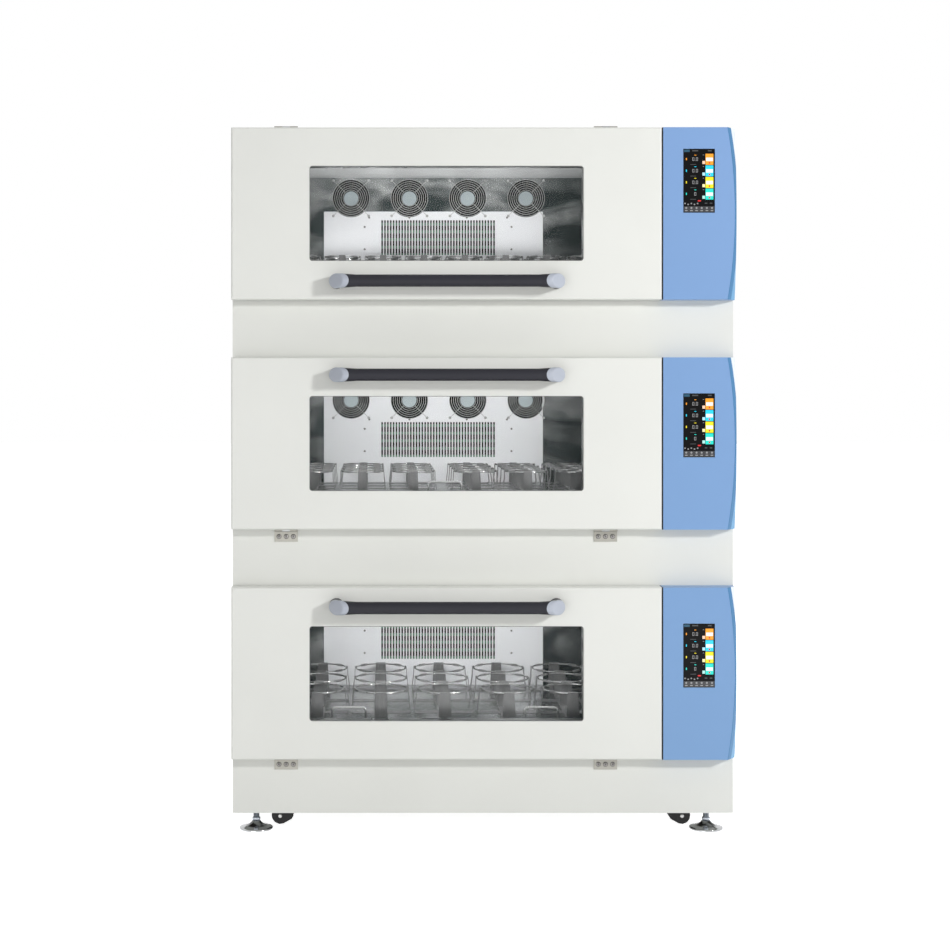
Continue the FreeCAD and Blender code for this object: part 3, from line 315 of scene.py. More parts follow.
# Rubber of the seals; also the black strip of painted shade in the gap beside each door.
RUBBER = moulding("gasket_black", linear(22, 23, 24), 0.55)
SEAL = moulding("window_seal_grey", linear(120, 122, 120), 0.5)
SCREEN = moulding("screen_black", linear(8, 8, 9), 0.16, 3000.0, 0.005, 0.12)
FAN_BLACK = moulding("fan_black", linear(7, 8, 8), 0.7, 1500.0, 0.03, 0.02)
HUB = moulding("fan_hub", linear(172, 183, 186), 0.4, 1500.0, 0.05)
COIL = paint("coil_green", linear(92, 126, 106), 0.45)
HINGE = satin_metal("hinge_nickel", linear(168, 166, 158), 0.4, (20, 1, 20), metallic=0.6)
SCREW = satin_metal("screw_steel", (0.3, 0.29, 0.28), 0.3, (3, 3, 3), metallic=0.8)
# Dark: the black inlet insert and the duct sheet; painted shade: screw countersinks, cross recesses and the
# gaps under the louvres.
DARK_AND_SHADE = moulding("dark_and_painted_shade", linear(40, 40, 40), 0.6)
IRON = paint("drive_grey", linear(96, 100, 104), 0.5)
SHAFT = satin_metal("shaft_steel", (0.62, 0.63, 0.64), 0.25)
FORK = paint("fork_black", linear(13, 13, 14), 0.5)
TYRE = moulding("tyre_black", linear(24, 24, 25), 0.5, 700.0, 0.08)
# Painted reflections: the tones and patches of the feet's chrome.
PAINTED_REFLECTION_CHROME = foot_chrome("foot_chrome", (0.54, 0.55, 0.56), (0.03, 0.03, 0.03), (0.4, 0.41, 0.42),
                     (0.62, 0.66, 0.72))


# Mesh helpers

def mesh_of(name, shape):
    """A mesh with what a bmesh holds; the bmesh is freed."""
    mesh = bpy.data.meshes.new(name)
    shape.to_mesh(mesh)
    shape.free()
    return mesh


def in_scene(name, data):
    """A new object of the scene."""
    made = bpy.data.objects.new(name, data)
    bpy.context.scene.collection.objects.link(made)
    return made


def add_copies(shape, single, places):
    """Adds a copy of another bmesh at each place, and frees that one."""
    mesh = mesh_of("single", single)
    for place in places:
        copy = mesh.copy()
        copy.transform(Matrix.Translation(place))
        shape.from_mesh(copy)
        bpy.data.meshes.remove(copy)
    bpy.data.meshes.remove(mesh)
    return shape


def add_object(name, shape, material, body, replaced=(), smooth=None):
    """Makes a piece of a bmesh and puts it on its body; smooth is the sharpest smooth angle."""
    bmesh.ops.recalc_face_normals(shape, faces=shape.faces)
    if smooth is not None:
        limit = math.radians(smooth)
        for face in shape.faces:
            face.smooth = True
        for edge in shape.edges:
            edge.smooth = len(edge.link_faces) == 2 and edge.calc_face_angle(0) < limit
    piece = in_scene(name, mesh_of(name, shape))
    piece.data.materials.append(material)
    if replaced:
        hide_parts(*replaced)
    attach(piece, body)


def add_box(shape, low, high, soft=0.0):
    """A box between two corners, its edges rounded by soft."""
    low, high = Vector(low), Vector(high)
    corners = bmesh.ops.create_cube(shape, size=1.0)["verts"]
    for vertex in corners:
        vertex.co = Vector(low[i] + (vertex.co[i] + 0.5) * (high[i] - low[i]) for i in range(3))
    if soft:
        edges = {edge for vertex in corners for edge in vertex.link_edges}
        bmesh.ops.bevel(shape, geom=list(edges), offset=soft, segments=3, affect="EDGES", profile=0.5)


def skin(shape, rings, closed=False):
    """Joins rings of as many points; open ends get flat faces."""
    made = [[shape.verts.new(point) for point in ring] for ring in rings]
    pairs = list(zip(made, made[1:]))
    if closed:
        pairs.append((made[-1], made[0]))
    for first, second in pairs:
        for index in range(len(first)):
            following = (index + 1) % len(first)
            shape.faces.new((first[index], first[following], second[following], second[index]))
    if not closed:
        shape.faces.new(list(reversed(made[0])))
        shape.faces.new(made[-1])


def circle(centre, across, other, radius, sides):
    """Points of a ring in the plane of two directions."""
    turns = [math.tau * index / sides for index in range(sides)]
    return [centre + (across * math.cos(turn) + other * math.sin(turn)) * radius for turn in turns]


def in_mm(points):
    """A lathe profile given in millimetres."""
    return [(along * MM, radius * MM) for along, radius in points]


def lathe(shape, profile, origin, axis, sides=48):
    """Turns (distance along the axis, radius) points round an axis, with flat ends."""
    axis = Vector(axis).normalized()
    across = axis.orthogonal().normalized()
    other = axis.cross(across)
    origin = Vector(origin)
    skin(shape, [circle(origin + axis * along, across, other, radius, sides) for along, radius in profile])


def tube(shape, points, radius, sides=8, closed=False):
    """A round wire through points, square to the path at each of them."""
    points = [Vector(point) for point in points]
    count = len(points)
    rings = []
    previous = None
    for index, point in enumerate(points):
        before = points[index - 1] if index or closed else point
        after = points[(index + 1) % count] if index < count - 1 or closed else point
        along = (after - before).normalized()
        if previous is None:
            across = along.orthogonal().normalized()
        else:
            across = (previous - along * previous.dot(along)).normalized()
        previous = across
        rings.append(circle(point, across, along.cross(across), radius, sides))
    skin(shape, rings, closed)


def ring_wire(shape, centre, radius, wire, first, second):
    """A closed wire ring in the plane of two directions."""
    tube(shape, circle(Vector(centre), Vector(first), Vector(second), radius, 48), wire, 6, True)


def rounded_rectangle(left, right, low, high, radius):
    """Corners of a rounded rectangle as (x, z), seven of them at each round."""
    points = []
    centres = ((right - radius, high - radius), (left + radius, high - radius),
               (left + radius, low + radius), (right - radius, low + radius))
    for corner, (x, z) in enumerate(centres):
        for step in range(7):
            turn = math.radians(90 * corner + 15 * step)
            points.append((x + radius * math.cos(turn), z + radius * math.sin(turn)))
    return points


def punched_sheet(shape, loops, front, thick):
    """A sheet square to Y: the first loop of (x, z) points is its outline, the others are holes."""
    edges = []
    for loop in loops:
        corners = [shape.verts.new((x, front, z)) for x, z in loop]
        for index, corner in enumerate(corners):
            edges.append(shape.edges.new((corner, corners[(index + 1) % len(corners)])))
    bmesh.ops.triangle_fill(shape, use_beauty=True, edges=edges, normal=(0, -1, 0))
    made = bmesh.ops.extrude_face_region(shape, geom=list(shape.faces), use_keep_orig=True)
    moved = [item for item in made["geom"] if isinstance(item, bmesh.types.BMVert)]
    bmesh.ops.translate(shape, verts=moved, vec=(0, thick, 0))


SCREW_DOME = ((0, 1), (0.25, 1), (0.45, 0.7), (0.5, 0.3))
SCREW_SIDES = 20
SINK_SHARE = 1.2
CROSS_REACH = 0.55
CROSS_HALF = 0.1
CROSS_RISE = 0.42
CROSS_DEEP = 0.14


def screw(heads, recess_shade, place, outward, radius):
    """A domed screw head with a cross recess, drawn as a cross slab through the dome's top that carries
    painted shade; its forms are shares of its radius.
    """
    outward = Vector(outward)
    dome = [(rise * radius, share * radius) for rise, share in SCREW_DOME]
    lathe(heads, dome, place, outward, SCREW_SIDES)
    across = outward.orthogonal().normalized()
    other = outward.cross(across)
    top = Vector(place) + outward * CROSS_RISE * radius
    # painted shade: a dark cross slab for the cross recess
    for first, second in ((across, other), (other, across)):
        ring = [top + (first * end * CROSS_REACH + second * edge * CROSS_HALF) * radius
                for end, edge in ((1, 1), (1, -1), (-1, -1), (-1, 1))]
        skin(recess_shade, [ring, [point + outward * CROSS_DEEP * radius for point in ring]])


def add_screws(name, places, outward, radius):
    """Screw heads, each in a shallow countersink; the countersink's shadow is painted as a dark disc round
    the head, and the cross recess is painted dark as shade.
    """
    heads = bmesh.new()
    recess_shade = bmesh.new()
    sink = SINK_SHARE * radius
    for place in places:
        screw(heads, recess_shade, place, outward, radius)
        # painted shade: a dark disc round the head for the countersink's shadow
        lathe(recess_shade, [(0, sink), (0.05 * radius, sink)], place, outward, SCREW_SIDES)
    add_object(f"{name}_heads", heads, SCREW, "root", smooth=50)
    add_object(f"{name}_recesses", recess_shade, DARK_AND_SHADE, "root")


# Materials of the carried-over solids

def dress(node, material):
    """Gives a carried-over solid its material."""
    piece = frame["nodes"][node]
    piece.data.materials.clear()
    piece.data.materials.append(material)
    return piece


def soften(piece, width):
    """Rounds the sharp edges of a carried-over solid a little."""
    bevel = piece.modifiers.new("edge", "BEVEL")
    bevel.width = width
    bevel.segments = 2
    bevel.limit_method = "ANGLE"
    bevel.angle_limit = math.radians(50)


def dress_frame():
    """Materials of all the solids that stay, with softened edges where they show."""
    for unit in UNITS:
        soften(dress(f"cabinet_{unit}", WHITE), 0.8 * MM)
        soften(dress(f"door_shell_{unit}", DOOR_WHITE), 0.6 * MM)
        for node, material in (("chamber", LINER), ("door_liner", DOOR_LINER), ("door_window", GLASS),
                               ("drive_crank", SHAFT)):
            dress(f"{node}_{unit}", material)
        for number in FOUR:
            dress(f"fan_rotor_{unit}_{number}", FAN_BLACK)
    soften(dress("frame_hinge_leaves", HINGE), 0.4 * MM)
    for node, material in (("heater_coils", COIL), ("fan_housings", FAN_BLACK), ("door_seals", RUBBER),
                           ("control_covers", BLUE), ("touch_screens", SCREEN), ("drive_motors", IRON)):
        dress(node, material)


# Door details

HANDLE_BAR = 16 * MM
HANDLE_LEG = 19 * MM
CAP_SLICE = 14 * MM
CAP_DOME = ((0.97, 0.5 * MM), (0.9, 1.1 * MM), (0.6, 1.6 * MM), (0.1, 1.8 * MM))
SLEEVE = 18.6 * MM
SLEEVE_END = 72 * MM
LEG_SHARE = 0.98
OVERLAP_SHARE = 0.9
HANDLE_SIDES = 48
BAR_PLANE = (Vector((0, 1, 0)), Vector((0, 0, 1)))
SEAL_BAND = 1.5 * MM
SEAL_ROUND = 8 * MM
SEAL_SET = 1.2 * MM
SEAL_THICK = 1.7 * MM
LEAF_HALF = 31 * MM
LEAF_THICK = 2 * MM
LEAF_PITCH = 19 * MM
LEAF_DROP = 22 * MM
LEAF_SCREW = 5.5 * MM


def slanted_ring(outer, side, front, height, radius):
    """A ring round the bar's end, its points moved along the bar onto the slanted plane."""
    ring = circle(Vector((outer, front + HANDLE_LEG, height)), *BAR_PLANE, radius, HANDLE_SIDES)
    back = front + 2 * HANDLE_LEG
    return [Vector((outer - side * (back - point.y), point.y, point.z)) for point in ring]


def door_handle(unit):
    """Black bar and legs that meet under thick silver end pieces, cut at 45 degrees."""
    low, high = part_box(f"door_handle_{unit}")
    height = (low.z + high.z) / 2
    black = bmesh.new()
    silver = bmesh.new()
    ends = []
    for side, outer in ((-1, low.x), (1, high.x)):
        along_bar = Vector((-side * CAP_SLICE, 0, 0))
        along_leg = Vector((0, CAP_SLICE, 0))
        face = slanted_ring(outer, side, low.y, height, HANDLE_LEG)
        middle = sum(face, Vector()) / len(face)
        lift = Vector((side, -1, 0)).normalized()
        dome = [[middle + (point - middle) * share + lift * rise for point in face]
                for share, rise in CAP_DOME]
        skin(silver, [[point + along_bar for point in face], face] + dome)
        skin(silver, [[point + along_leg for point in face], face])
        leg = [middle + (point - middle) * LEG_SHARE + along_leg * OVERLAP_SHARE for point in face]
        skin(black, [leg, [Vector((point.x, FACE_Y, point.z)) for point in leg]])
        sleeve = slanted_ring(outer, side, low.y, height, SLEEVE)
        sleeve = [point + along_bar * OVERLAP_SHARE for point in sleeve]
        end = Vector((outer - side * SLEEVE_END, low.y + HANDLE_BAR, height))
        ends.append([sleeve, circle(end, *BAR_PLANE, HANDLE_BAR, HANDLE_SIDES)])
    skin(black, ends[0] + list(reversed(ends[1])))
    body = f"door_{unit}"
    add_object(f"handle_bar_{unit}", black, BAR, body, (f"door_handle_{unit}",), 35)
    add_object(f"handle_ends_{unit}", silver, CAP, body, smooth=35)


def window_trim(unit):
    """Grey seal round the outer pane."""
    low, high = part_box(f"door_window_{unit}")
    loops = [rounded_rectangle(low.x + inset, high.x - inset, low.z + inset, high.z - inset,
                               SEAL_ROUND - inset) for inset in (0, SEAL_BAND)]
    shape = bmesh.new()
    punched_sheet(shape, loops, FACE_Y + SEAL_SET, SEAL_THICK)
    add_object(f"window_seal_{unit}", shape, SEAL, f"door_{unit}")


def hinge_screws():
    """Three screws in each fixed leaf: in front under a door, or on the roof."""
    low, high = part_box("frame_hinge_leaves")
    for unit in UNITS:
        if unit == "top":
            y, z, outward = PANEL_Y + LEAF_HALF / 2, DOOR_BASE[unit] + DOOR_HEIGHT + LEAF_THICK, (0, 0, 1)
        else:
            y, z, outward = PANEL_Y - LEAF_THICK, DOOR_BASE[unit] - LEAF_DROP, (0, -1, 0)
        places = [(centre + step * LEAF_PITCH, y, z)
                  for centre in (low.x + LEAF_HALF, high.x - LEAF_HALF) for step in (-1, 0, 1)]
        add_screws(f"hinge_screws_{unit}", places, outward, LEAF_SCREW)


# Control covers

BOW_DEPTH = 19.5 * MM
BOW_INSET = 5 * MM
EDGE_BAND = 10.5 * MM
BEVEL_SLOPE = 50 / 40
COVER_GAP = 3 * MM
EDGE_LIFT = 0.3 * MM
EDGE_STEPS = 48
EDGING_GAP = 1.2 * MM


def cover_trim(unit):
    """Painted shade: a darker band along the bowed edge, where the bevel turns from the light, and a black
    strip in the gap beside the door, where the gap lies in shade.
    """
    base = DOOR_BASE[unit]
    radius = (DOOR_HEIGHT ** 2 / 4 + BOW_DEPTH ** 2) / (2 * BOW_DEPTH)
    lift = EDGE_LIFT
    rings = []
    for index in range(EDGE_STEPS + 1):
        above = DOOR_HEIGHT * (index / EDGE_STEPS - 0.5)
        edge = COVER_HIGH.x - BOW_INSET - (radius - math.sqrt(radius ** 2 - above ** 2))
        band = min(EDGE_BAND, COVER_HIGH.x - edge - lift)
        deep = FACE_Y + band * BEVEL_SLOPE
        outline = ((edge - 1.5 * lift, FACE_Y - lift), (edge + lift, FACE_Y - lift),
                   (edge + band + lift, deep - lift), (edge + band - lift, deep + lift),
                   (edge - 1.5 * lift, FACE_Y + 2 * lift))
        rings.append([Vector((x, y, base + DOOR_HEIGHT / 2 + above)) for x, y in outline])
    # painted shade: a darker blue band along the bowed edge
    band_shape = bmesh.new()
    skin(band_shape, rings)
    add_object(f"cover_shade_band_{unit}", band_shape, BLUE_EDGE_SHADE, "root", smooth=30)
    # painted shade: a black strip in the gap beside the door
    strip = bmesh.new()
    add_box(strip, (COVER_LOW.x - COVER_GAP + EDGING_GAP, FACE_Y + MM, base),
            (COVER_LOW.x - 0.1 * MM, PANEL_Y - MM, base + DOOR_HEIGHT))
    add_object(f"cover_gap_shade_{unit}", strip, RUBBER, "root")


# Display

ROW_COLOURS = (linear(250, 158, 30), linear(24, 208, 240), linear(246, 226, 20), linear(20, 218, 200))
ROW_TOP_SHARE = 0.078
ROW_PITCH_SHARE = 0.182
SCREEN_TALL = 167.5 * MM
PATCH_LIFT = 0.15 * MM
PATCH_THICK = 0.2 * MM
TAB_PLATES = ((0.705, 0.955, 0, 0.172), (0.35, 0.41, 0.016, 0.025), (0.08, 0.11, 0.066, 0.1))
SCREEN_PLATES = (
    ("blue", 0.02, 0.2, 0.012, 0.05), ("dim", 0.28, 0.47, 0.02, 0.04), ("dim", 0.78, 0.9, 0.02, 0.04),
    ("red", 0.46, 0.56, 0.806, 0.826), ("dim", 0.68, 0.76, 0.845, 0.862), ("dim", 0.84, 0.92, 0.845, 0.862),
    ("key", 0.01, 0.99, 0.903, 0.992),
)
SCREEN_TONES = {
    "white": ((0.9, 0.9, 0.9), 0.7), "red": (linear(226, 30, 30), 0.7),
    "grey": (linear(150, 150, 152), 0.6), "dim": (linear(70, 72, 74), 0.5),
    "key": (linear(62, 63, 66), 0.4), "blue": (linear(20, 84, 112), 0.5),
}


class Display:
    """Places on one screen as shares of its width and height, from its upper left corner."""

    def __init__(self, unit, low, high):
        self.unit = unit
        self.left = low.x
        self.top = high.z
        self.width = high.x - low.x
        self.height = high.z - low.z
        self.face = low.y - 0.25 * MM

    def plate(self, shape, left, right, top, bottom, lift=0):
        """A thin patch that stands out by lift."""
        front = self.face - lift
        add_box(shape, (self.left + self.width * left, front, self.top - self.height * bottom),
                (self.left + self.width * right, front + PATCH_THICK, self.top - self.height * top))

    def dot(self, shape, across, down, radius, lift=0):
        """A round patch; its radius is a share of the width."""
        centre = (self.left + self.width * across, self.face - lift, self.top - self.height * down)
        reach = self.width * radius
        lathe(shape, [(0, reach), (PATCH_THICK, reach)], centre, (0, 1, 0), 16)

    def zero(self, shape, left, top):
        """A plain seven-bar zero."""
        wide, tall, bar, thin = 0.062, 0.052, 0.014, 0.007
        self.plate(shape, left, left + wide, top, top + thin)
        self.plate(shape, left, left + wide, top + tall - thin, top + tall)
        self.plate(shape, left, left + bar, top + thin, top + tall - thin)
        self.plate(shape, left + wide - bar, left + wide, top + thin, top + tall - thin)

    def patch(self, name, shape, colour, strength):
        """Makes the lit piece of a shape."""
        add_object(f"screen_{name}_{self.unit}", shape, lit(f"lit_{name}_{self.unit}", colour, strength),
                   "root")


def screen_row(display, row, colour, shapes):
    """One reading: coloured tab with a white middle, small icon and a plain 0.0."""
    top = ROW_TOP_SHARE + row * ROW_PITCH_SHARE
    tab = bmesh.new()
    for left, right, high, low in TAB_PLATES:
        display.plate(tab, left, right, top + high, top + low)
    display.patch(f"tab_{row + 1}", tab, colour, 0.8)
    side_tab = bmesh.new()
    display.plate(side_tab, 0.605, 0.69, top + 0.112, top + 0.16)
    display.patch(f"side_tab_{row + 1}", side_tab, tuple(0.45 + 0.55 * value for value in colour), 0.7)
    display.plate(shapes["white"], 0.72, 0.94, top + 0.06, top + 0.115, PATCH_LIFT)
    display.dot(shapes["red"], 0.83, top + 0.143, 0.028, PATCH_LIFT)
    display.plate(shapes["grey"], 0.62, 0.66, top + 0.014, top + 0.021)
    display.plate(shapes["dim"], 0.22, 0.4, top + 0.163, top + 0.172)
    if row == len(ROW_COLOURS) - 1:
        display.zero(shapes["grey"], 0.345, top + 0.058)
        return
    display.zero(shapes["grey"], 0.285, top + 0.058)
    display.zero(shapes["grey"], 0.4, top + 0.058)
    display.plate(shapes["grey"], 0.366, 0.381, top + 0.103, top + 0.11)


def touch_screen(unit, low, high):
    """Dark glass with four readings, a status line and a bar of six keys."""
    display = Display(unit, low, high)
    shapes = {name: bmesh.new() for name in SCREEN_TONES}
    for row, colour in enumerate(ROW_COLOURS):
        screen_row(display, row, colour, shapes)
    for name, *place in SCREEN_PLATES:
        display.plate(shapes[name], *place)
    for index in range(5):
        left = 0.03 + index * 0.1
        top = 0.848 + 0.014 * (index % 2)
        display.plate(shapes["grey"], left, left + 0.045, top, top + 0.02)
    for index in range(6):
        middle = 0.09 + index * 0.164
        display.dot(shapes["grey"], middle, 0.928, 0.032, PATCH_LIFT)
        display.plate(shapes["grey"], middle - 0.04, middle + 0.04, 0.962, 0.977, PATCH_LIFT)
    for name, shape in shapes.items():
        display.patch(name, shape, *SCREEN_TONES[name])


def touch_screens():
    """The screens of the three covers, found from the lowest and the highest of them."""
    low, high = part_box("touch_screens")
    foot = {"bottom": low.z, "middle": low.z + UNIT_PITCH, "top": high.z - SCREEN_TALL}
    for unit, z in foot.items():
        touch_screen(unit, Vector((low.x, low.y, z)), Vector((high.x, high.y, z + SCREEN_TALL)))


# Back walls and fans

WALL_THICK = 1.5 * MM
WALL_FOOT = 10 * MM
WALL_EDGE = 1.6 * MM
WALL_SCREW = 2.6 * MM
FAN_HOLE = 55 * MM
SLOT_COUNT = 40
SLOT_PITCH = 8.6 * MM
SLOT_WIDTH = 5 * MM
SLOT_LOW = 107 * MM
SLOT_DROP = 10 * MM
SLOTS_HALF = SLOT_COUNT * SLOT_PITCH / 2
PANEL_HALF = 328 * MM
PANEL_SHIFT = -14 * MM
PANEL_DROP = 40 * MM
PANEL_FRONT = WALL_Y - 0.9 * MM
PANEL_THICK = 0.8 * MM
SCALLOP_GAP = 2 * MM
SCALLOP_STEPS = 12
DUCT_EDGE = 4 * MM
DUCT_GAP = 4 * MM
DUCT_THICK = 1.5 * MM
DUCT_LOW = 60 * MM
DUCT_DROP = 62 * MM
ROW_DROP = 3 * MM
ROW_SIDE = 48 * MM
GUARD_RING = 55 * MM
GUARD_STEP = 6.2 * MM
GUARD_RINGS = 6
GUARD_WIRE = 0.85 * MM
SPOKE_PAST = 7 * MM
EYE_REACH = 75 * MM
EYE_INNER = 3 * MM
EYE_WIRE = 1.4 * MM
EYE_PROFILE = ((0, 3), (1.4, 4.2), (2.6, 4.2))
HUB_PROFILE = ((-1.2, 15.5), (-0.9, 20), (-0.5, 21.5), (-0.1, 21.5))


def fan_places(unit):
    """Middle and front of each rotor of a unit, from left to right."""
    found = []
    for number in FOUR:
        low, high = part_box(f"fan_rotor_{unit}_{number}")
        found.append(((low + high) / 2, low.y))
    return found


def round_hole(centre, radius):
    """Corners of a round hole as (x, z)."""
    ring = circle(centre, Vector((1, 0, 0)), Vector((0, 0, 1)), radius, 48)
    return [(point.x, point.z) for point in ring]


def rectangle(left, right, low, high):
    """Corners of a rectangle as (x, z)."""
    return [(left, low), (right, low), (right, high), (left, high)]


def back_wall(unit, shape, panel, floor_z, ceiling_z):
    """Wall sheet with the fan holes, and the pale slotted panel in front of it."""
    centres = [centre for centre, _ in fan_places(unit)]
    holes = [round_hole(centre, FAN_HOLE) for centre in centres]
    low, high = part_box(f"chamber_{unit}")
    slot_top = centres[0].z - FAN_HOLE - SLOT_DROP
    slot_low = floor_z + SLOT_LOW
    window = rectangle(DOOR_CENTRE - SLOTS_HALF, DOOR_CENTRE + SLOTS_HALF, slot_low, slot_top)
    outline = rectangle(low.x + WALL_EDGE, high.x - WALL_EDGE, floor_z, ceiling_z)
    punched_sheet(shape, [outline] + holes + [window], WALL_Y, WALL_THICK)
    panel_top = centres[0].z - PANEL_DROP if unit == "top" else ceiling_z - MM
    middle = DOOR_CENTRE + PANEL_SHIFT
    outline = rectangle(middle - PANEL_HALF, middle + PANEL_HALF, floor_z + MM, panel_top)
    if unit == "top":
        outline = outline[:2] + scalloped_top(middle, panel_top, centres)
        holes = []
    slots = []
    for index in range(SLOT_COUNT):
        left = DOOR_CENTRE - SLOTS_HALF + index * SLOT_PITCH + (SLOT_PITCH - SLOT_WIDTH) / 2
        slots.append(rectangle(left, left + SLOT_WIDTH, slot_low + MM, slot_top - MM))
    punched_sheet(panel, [outline] + holes + slots, PANEL_FRONT, PANEL_THICK)


def scalloped_top(middle, top, centres):
    """Upper edge of the panel from right to left, cut round the lower part of each fan."""
    radius = FAN_HOLE + SCALLOP_GAP
    half_turn = math.acos((centres[0].z - top) / radius)
    points = [(middle + PANEL_HALF, top)]
    for centre in reversed(centres):
        for step in range(SCALLOP_STEPS + 1):
            turn = -math.pi / 2 + half_turn * (1 - 2 * step / SCALLOP_STEPS)
            points.append((centre.x + radius * math.cos(turn), centre.z + radius * math.sin(turn)))
    points.append((middle - PANEL_HALF, top))
    return points


def back_walls():
    """Walls and panels of the three chambers, with the duct sheets and small screws."""
    walls = bmesh.new()
    panels = bmesh.new()
    for unit in UNITS:
        low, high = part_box(f"chamber_{unit}")
        one_wall = bmesh.new()
        one_panel = bmesh.new()
        back_wall(unit, one_wall, one_panel, low.z + WALL_FOOT, high.z - WALL_THICK)
        add_copies(walls, one_wall, [(0, 0, 0)])
        add_copies(panels, one_panel, [(0, 0, 0)])
        coil_backing(unit, low.z)
        wall_screws(unit)
    add_object("wall_sheets", walls, WALL, "root", ("back_walls",))
    add_object("return_panels", panels, RETURN_PANEL, "root")


def coil_backing(unit, floor_z):
    """Dark sheet of the duct behind the coil bars."""
    shape = bmesh.new()
    half = SLOTS_HALF + DUCT_EDGE
    top = fan_places(unit)[0][0].z - DUCT_DROP
    add_box(shape, (DOOR_CENTRE - half, REAR_Y + DUCT_GAP, floor_z + DUCT_LOW),
            (DOOR_CENTRE + half, REAR_Y + DUCT_GAP + DUCT_THICK, top), 0.5 * MM)
    add_object(f"duct_sheet_{unit}", shape, DARK_AND_SHADE, "root")


def wall_screws(unit):
    """Small screws along the panel, above and beside the slots."""
    row_z = fan_places(unit)[0][0].z - FAN_HOLE - ROW_DROP
    places = [(DOOR_CENTRE + share * SLOTS_HALF, PANEL_FRONT, row_z) for share in (-1.2, -0.5, 0.5, 1.2)]
    for side in (-1, 1):
        for drop in (28 * MM, 95 * MM):
            places.append((DOOR_CENTRE + side * (SLOTS_HALF + ROW_SIDE), PANEL_FRONT, row_z - drop))
    add_screws(f"wall_screws_{unit}", places, (0, -1, 0), WALL_SCREW)


def fan_guard(shape, centre, front):
    """Wire rings on four spokes that end in screw eyes."""
    across, up = Vector((1, 0, 0)), Vector((0, 0, 1))
    for ring in range(GUARD_RINGS):
        ring_wire(shape, (centre.x, front + GUARD_WIRE, centre.z), GUARD_RING - ring * GUARD_STEP,
                  GUARD_WIRE, across, up)
    behind = front + 3 * GUARD_WIRE
    wall = WALL_Y - EYE_WIRE
    spoke = ((GUARD_RING - (GUARD_RINGS - 1) * GUARD_STEP, behind), (GUARD_RING + SPOKE_PAST, behind),
             (EYE_REACH - SPOKE_PAST, wall), (EYE_REACH - EYE_INNER, wall))
    base = Vector((centre.x, 0, centre.z))
    for quarter in range(4):
        turn = math.radians(45 + 90 * quarter)
        out = across * math.cos(turn) + up * math.sin(turn)
        tube(shape, [base + out * reach + Vector((0, y, 0)) for reach, y in spoke], GUARD_WIRE, 6)
        eye = base + out * EYE_REACH + Vector((0, WALL_Y - 2 * EYE_WIRE, 0))
        lathe(shape, in_mm(EYE_PROFILE), eye, (0, 1, 0), 16)


def fans():
    """Guards of all fans as one piece, and a pale hub on each rotor."""
    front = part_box("fan_guards")[0].y
    shape = bmesh.new()
    for unit in UNITS:
        for number, (centre, hub_front) in zip(FOUR, fan_places(unit)):
            fan_guard(shape, centre, front)
            hub = bmesh.new()
            lathe(hub, in_mm(HUB_PROFILE), (centre.x, hub_front, centre.z), (0, 1, 0), 40)
            fan = f"{unit}_{number}"
            add_object(f"fan_hub_{fan}", hub, HUB, f"fan_{fan}", smooth=40)
    add_object("wire_guards", shape, GUARD, "root", ("fan_guards",), 70)


# Trays

TRAY_SKIN = 3 * MM
TRAY_RIM = 12 * MM
CARRIER_THICK = 14 * MM
CARRIER_SIDE = 70 * MM
CARRIER_FRONT = 60 * MM
HUB_OUTER = 36 * MM
HUB_BORE = 10.1 * MM
PULL_WIRE = 3 * MM
PULL_BEND = 9 * MM
PULL_HALF = 48 * MM
PULL_HEIGHT = 32 * MM
PULL_INSET = 7 * MM
PULL_OFFSETS = {"bottom": (-258 * MM, 258 * MM), "middle": (0,), "top": ()}


def tray(unit):
    """Folded tray sheet on its carrier, with the bearing of the crank pin and the pull loops."""
    low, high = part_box(f"platform_{unit}")
    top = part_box(f"flask_clamps_{unit}")[0].z
    sheet = top - TRAY_SKIN
    under = sheet - CARRIER_THICK
    shape = bmesh.new()
    add_box(shape, (low.x, low.y, sheet), (high.x, high.y, top), 0.8 * MM)
    for edge in (low.y, high.y - TRAY_SKIN):
        add_box(shape, (low.x, edge, sheet - TRAY_RIM), (high.x, edge + TRAY_SKIN, sheet + MM), 0.6 * MM)
    add_box(shape, (low.x + CARRIER_SIDE, low.y + CARRIER_FRONT, under),
            (high.x - CARRIER_SIDE, high.y - CARRIER_FRONT, sheet), 1.5 * MM)
    middle = Vector(((low.x + high.x) / 2, (low.y + high.y) / 2, low.z))
    rise = under - low.z
    rings = [circle(middle + Vector((0, 0, up)), Vector((1, 0, 0)), Vector((0, 1, 0)), radius, 48)
             for up, radius in ((rise, HUB_BORE), (0, HUB_BORE), (0, HUB_OUTER), (rise, HUB_OUTER))]
    skin(shape, rings, True)
    add_object(f"tray_{unit}", shape, TRAY, f"platform_{unit}", (f"platform_{unit}",), 35)
    if not PULL_OFFSETS[unit]:
        return
    loops = bmesh.new()
    for offset in PULL_OFFSETS[unit]:
        pull_loop(loops, middle.x + offset, low.y + PULL_INSET, top)
    add_object(f"tray_pulls_{unit}", loops, WIRE, f"platform_{unit}", smooth=60)


def pull_loop(shape, x, y, floor_z):
    """Upright wire loop with rounded corners."""
    top = floor_z + PULL_HEIGHT - PULL_WIRE
    half = PULL_HALF - PULL_WIRE
    points = [(x - half, y, floor_z - MM), (x - half, y, top - PULL_BEND)]
    for step in range(1, 6):
        turn = math.radians(15 * step)
        points.append((x - half + PULL_BEND * (1 - math.cos(turn)), y,
                       top - PULL_BEND + PULL_BEND * math.sin(turn)))
    points.append((x - half + PULL_BEND, y, top))
    mirrored = [(2 * x - px, py, pz) for px, py, pz in reversed(points)]
    tube(shape, points + mirrored, PULL_WIRE, 12)


# Flask clamps

